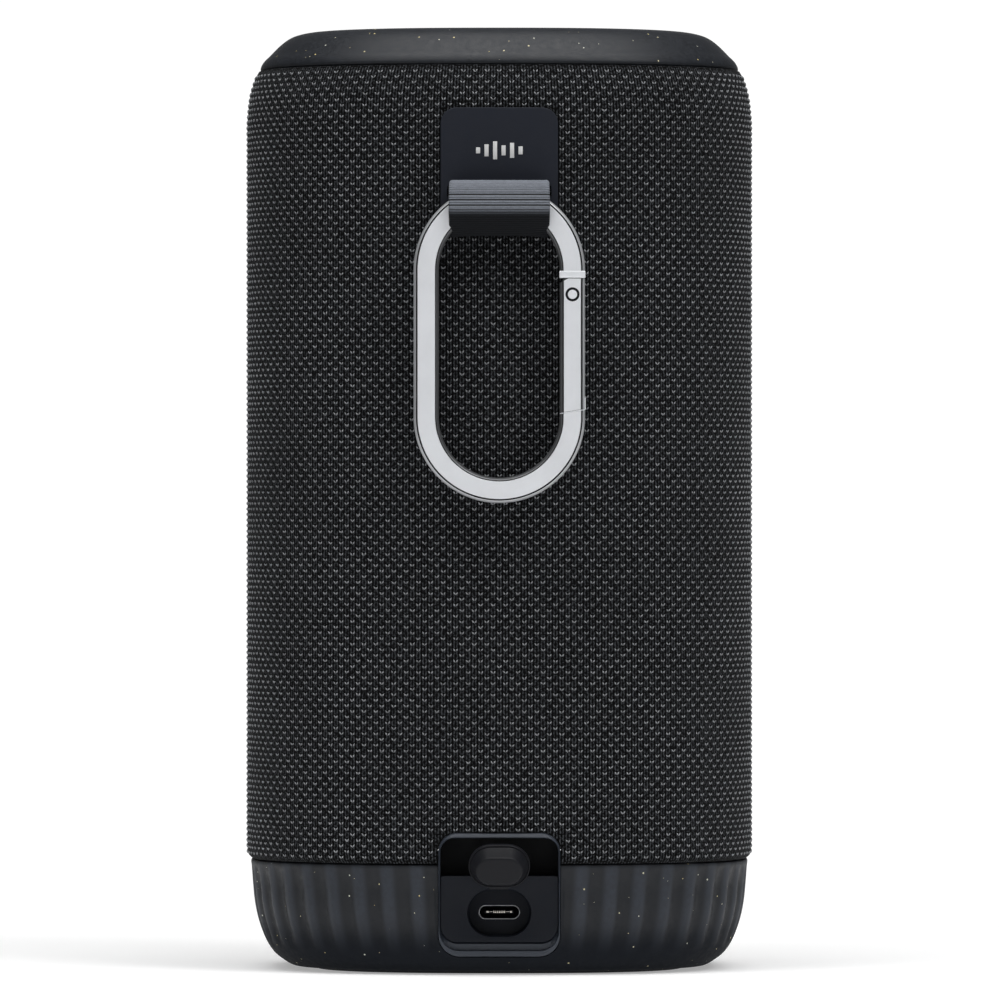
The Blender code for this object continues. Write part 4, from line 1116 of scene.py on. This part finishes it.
def make_socket(metal, black, tongue_plastic, contact_metal):
    """The metal sleeve of the socket, its thin tongue, and the contacts on the tongue."""
    front, rear = shell_low.y, shell_high.y
    rows = []
    for half_long, half_short, y in (
        (4.14, 1.42, rear), (4.14, 1.42, front + 0.1 * MM), (4.09, 1.37, front), (4.02, 1.3, front),
        (3.96, 1.23, front + 0.1 * MM), (3.94, 1.21, front + 0.35 * MM), (3.94, 1.21, rear - 0.6 * MM),
    ):
        rows.append(upright(stadium(half_long * MM, half_short * MM, SOCKET), y))
    shell = skin_loops("usb_c_sleeve", rows, LAST_END, sharp=50)
    # The inside of the sleeve takes the near-black material: painted shade within the socket.
    inside_from = 5 * len(rows[0])
    for index, polygon in enumerate(shell.data.polygons):
        polygon.material_index = int(index >= inside_from)
    settle(shell, "housing", "steel", metal, black, replaces=("usb_c_shell",))
    low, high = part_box("usb_c_tongue")
    tongue = bevelled_box("usb_c_blade", (low.x + 0.4 * MM, front + 0.9 * MM, SOCKET[1] - 0.3 * MM),
                          (high.x - 0.4 * MM, high.y, SOCKET[1] + 0.3 * MM), 0.08 * MM, 2)
    settle(tongue, "housing", "inner_plastic", tongue_plastic, replaces=("usb_c_tongue",))
    contacts = [(x * 0.36, 0.12, 0.26) for x in range(-3, 4)] + [(-2.35, 0.26, 0.2), (2.35, 0.26, 0.2)]
    contacts += [(-1.7, 0.32, 0.07), (1.7, 0.32, 0.07)]
    for index, (x, half_wide, half_tall) in enumerate(contacts):
        contact = bevelled_box(
            f"usb_contact_{index + 1}",
            ((x - half_wide) * MM, front + 0.7 * MM, SOCKET[1] + (0.08 - half_tall) * MM),
            ((x + half_wide) * MM, front + 4.5 * MM, SOCKET[1] + (0.08 + half_tall) * MM), 0.03 * MM, 1,
        )
        settle(contact, "housing", "steel", contact_metal)


def make_plug(rubber):
    """The plug's flange, groove and tapered boss, built upright about its hinge and leant outwards."""
    hinge = Vector(JOINTS["plug_fold"]["pos_m"])
    turn = Matrix.Rotation(PLUG_LEAN, 3, "X")
    centre = (0.0, 5.12 * MM)
    levels = (
        (5.95, 4.3, 0.02), (6.15, 4.5, -0.15), (6.15, 4.5, -0.9), (6.06, 4.41, -1.08), (5.94, 4.28, -1.12),
        (5.84, 4.14, -0.98), (5.78, 4.06, -1.12), (5.66, 3.93, -1.4), (5.3, 3.5, -2.3), (4.72, 2.95, -3.7),
        (4.6, 2.84, -3.98), (4.4, 2.66, -4.12), (4.0, 2.3, -4.18),
    )
    loops = [upright(stadium(half_long * MM, half_short * MM, centre, 24), y * MM)
             for half_long, half_short, y in levels]
    loops = np.array(loops) @ np.array(turn).T + np.array(hinge)
    plug = skin_loops("plug_body", loops, sharp=60)
    settle(plug, "plug", "plug_rubber", rubber, replaces=("port_plug",))
    tab = bevelled_box("plug_tab", (-1.9 * MM, -0.45 * MM, -0.02 * MM), (1.9 * MM, 0.1 * MM, 1.6 * MM),
                       0.12 * MM)
    tab.matrix_world = Matrix.Translation(hinge) @ turn.to_4x4()
    settle(tab, "plug", "plug_rubber", rubber)


# ---------------------------------------------------------------- stage, light and camera

SENSOR_WIDTH = 36.0
WORLD_STRENGTH = 0.12
FLOOR_GLOW = 0.35
FLOOR_START, FLOOR_END = -0.7, 0.2
FLOOR_HALF = 0.5
OVERHEAD_WATTS = 6.5
LEFT_WATTS = 8.0
RIGHT_WATTS = 17.0


def glowing(name, value, glow):
    n = Nodes(name)
    n.set(color=n.mix(n.noise(8, 2), grey(value), grey(value * 0.97)), rough=0.9, specular=0.0)
    n.shader.inputs["Emission Color"].default_value = (1, 1, 1, 1)
    n.shader.inputs["Emission Strength"].default_value = glow
    return n.material


def make_world():
    """Dim soft surroundings, and white in the small patch of sky behind the object."""
    world = bpy.data.worlds.new("studio")
    bpy.context.scene.world = world
    world.use_nodes = True
    tree = world.node_tree
    background = tree.nodes["Background"]
    background.inputs["Color"].default_value = (1, 1, 1, 1)
    coords = tree.nodes.new("ShaderNodeTexCoord")
    split = tree.nodes.new("ShaderNodeSeparateXYZ")
    ramp = tree.nodes.new("ShaderNodeMapRange")
    ramp.interpolation_type = "SMOOTHSTEP"
    for socket, value in zip(ramp.inputs[1:5], (0.95, 0.985, WORLD_STRENGTH, 1.05)):
        socket.default_value = value
    tree.links.new(coords.outputs["Generated"], split.inputs[0])
    tree.links.new(split.outputs["Y"], ramp.inputs[0])
    tree.links.new(ramp.outputs[0], background.inputs["Strength"])


def make_stage():
    corners = [(-FLOOR_HALF, FLOOR_START, 0), (FLOOR_HALF, FLOOR_START, 0), (FLOOR_HALF, FLOOR_END, 0),
               (-FLOOR_HALF, FLOOR_END, 0)]
    floor = new_object("studio_floor", corners, [(0, 1, 2, 3)], smooth=False)
    floor.data.materials.append(glowing("studio_floor", 0.8, FLOOR_GLOW))
    make_world()
    aim = Vector((0, 0, 0.1))
    lights = (
        ("overhead", (0.0, -0.15, 0.9), 0.7, OVERHEAD_WATTS),
        ("front_left", (-1.2, -1.2, 1.9), 0.9, LEFT_WATTS),
        ("front_right", (1.2, -1.2, 1.9), 0.9, RIGHT_WATTS),
    )
    for name, place, size, power in lights:
        light = bpy.data.lights.new(name, "AREA")
        light.shape = "SQUARE"
        light.size = size
        light.energy = power
        lamp = linked(name, light)
        lamp.location = place
        lamp.rotation_euler = (aim - Vector(place)).to_track_quat("-Z", "Y").to_euler()


def make_camera():
    data = bpy.data.cameras.new("camera")
    data.sensor_width = SENSOR_WIDTH
    distance = 2.15
    view_width = 0.2044
    data.lens = SENSOR_WIDTH * distance / view_width
    data.clip_end = 20
    camera = linked("camera", data)
    camera.location = (0.00014, -distance, 0.0953)
    camera.rotation_euler = (math.pi / 2, 0, 0)
    bpy.context.scene.camera = camera
    bpy.context.scene.view_settings.view_transform = "Standard"


make_camera()
make_stage()

base_plastic = speckled_plastic("speckled_base", 0.027, 0.036, shade_and_dull_foot=True)
shell_plastic = speckled_plastic("speckled_cap", 0.011, 0.016)
foot_rubber = moulded("foot_rubber", 0.006, 0.01, 0.75)
key_rubber = moulded("key_rubber", 0.007, 0.011, 0.6)
patch_rubber = moulded("patch_rubber", 0.01, 0.013, 0.7, (0.7, 0.92, 1.6))
mark_paint = moulded("mark_paint", 0.62, 0.7, 0.6, (1, 1, 1))
key_mark = moulded("key_mark_paint", 0.3, 0.4, 0.6, (1, 1, 1))
hook_face = satin_metal("hook_face", 0.81, 0.5, metal=0.2)
# The next two are darker and lighter copies of the same aluminium: painted dark reflection on the inner
# shoulders, painted bright reflection on the outer ones.
hook_side_shade = satin_metal("hook_side_shade", 0.12, 0.42, metal=0.6)
hook_edge_reflection = satin_metal("hook_edge_reflection", 0.5, 0.4, metal=0.5)
# A brighter copy of the aluminium: the collar, the nose and the rivet heads, and a painted highlight filling
# the seam.
hook_polish_and_highlight = satin_metal("hook_polish_and_highlight", 0.95, 0.35, metal=0.3)
# Near black: painted shade in the bar's grooves and in the rivet heads' grooves.
hook_groove_shade = moulded("hook_groove_shade", 0.003, 0.006, 0.8)
hook_looks = (hook_face, hook_side_shade, hook_groove_shade, hook_edge_reflection)
port_rim_plastic = moulded("port_rim_plastic", 0.04, 0.05, 0.45)
port_plastic = moulded("port_panel_plastic", 0.006, 0.009, 0.55, (0.75, 0.95, 1.5), gloss=0.16)
# Near black: painted shade in the pocket above the panel and inside the socket.
port_shade_black = moulded("port_shade_black", 0.002, 0.003, 0.8)
plug_rubber = moulded("plug_rubber", 0.008, 0.012, 0.45, (0.92, 0.96, 1.2), gloss=0.16)
tongue_plastic = moulded("tongue_plastic", 0.006, 0.01, 0.6)
contact_metal = satin_metal("contact_metal", 0.7, 0.3, (1.05, 1.0, 0.9))
shell_metal = satin_metal("usb_shell_metal", 0.5, 0.35)


INNER_LOOKS = {
    "inner_plastic": moulded("inner_plastic", 0.02, 0.03, 0.6),
    "steel": satin_metal("inner_steel", 0.55, 0.35),
    "surround_rubber": moulded("surround_rubber", 0.01, 0.015, 0.7),
    "cone_paper": moulded("cone_paper", 0.02, 0.035, 0.85, (1, 1, 1), 900, 0.5),
    "cell_wrap": moulded("cell_wrap", 0.03, 0.05, 0.35, (0.4, 0.9, 2.2)),
    "circuit_board": moulded("circuit_board", 0.02, 0.035, 0.45, (0.35, 1.6, 0.8)),
    "webbing": webbing_material(),
    # The CAD hook nodes take the darker copy, a painted dark reflection.
    "hook_aluminium": hook_side_shade,
}


def dress_cad_nodes():
    """Gives each CAD node that is still shown, and whose slot has a made look, that material; also those that
    stay inside the casing.
    """
    for entry in frame["record"]["subparts"]:
        look = INNER_LOOKS.get(entry["material_slot"])
        node = frame["nodes"][entry["node"]]
        if look is not None and not node.hide_render:
            node.data.materials.clear()
            node.data.materials.append(look)


make_sleeve(knit_ground(), knit_yarn())
make_base(base_plastic)
make_foot(foot_rubber)
make_cap(shell_plastic)
make_top_keys(key_rubber, key_mark)
make_volume_keys(key_rubber)
make_patch(patch_rubber, mark_paint)
make_loop(INNER_LOOKS["webbing"])
make_root(INNER_LOOKS["webbing"])
make_ring(hook_looks, hook_polish_and_highlight)
make_gate(hook_looks)
make_seam(hook_polish_and_highlight)
make_rivets(hook_polish_and_highlight, hook_groove_shade)
make_rim(port_rim_plastic)
make_pocket(port_shade_black)
make_panel(port_plastic)
make_socket(shell_metal, port_shade_black, tongue_plastic, contact_metal)
make_plug(plug_rubber)
dress_cad_nodes()
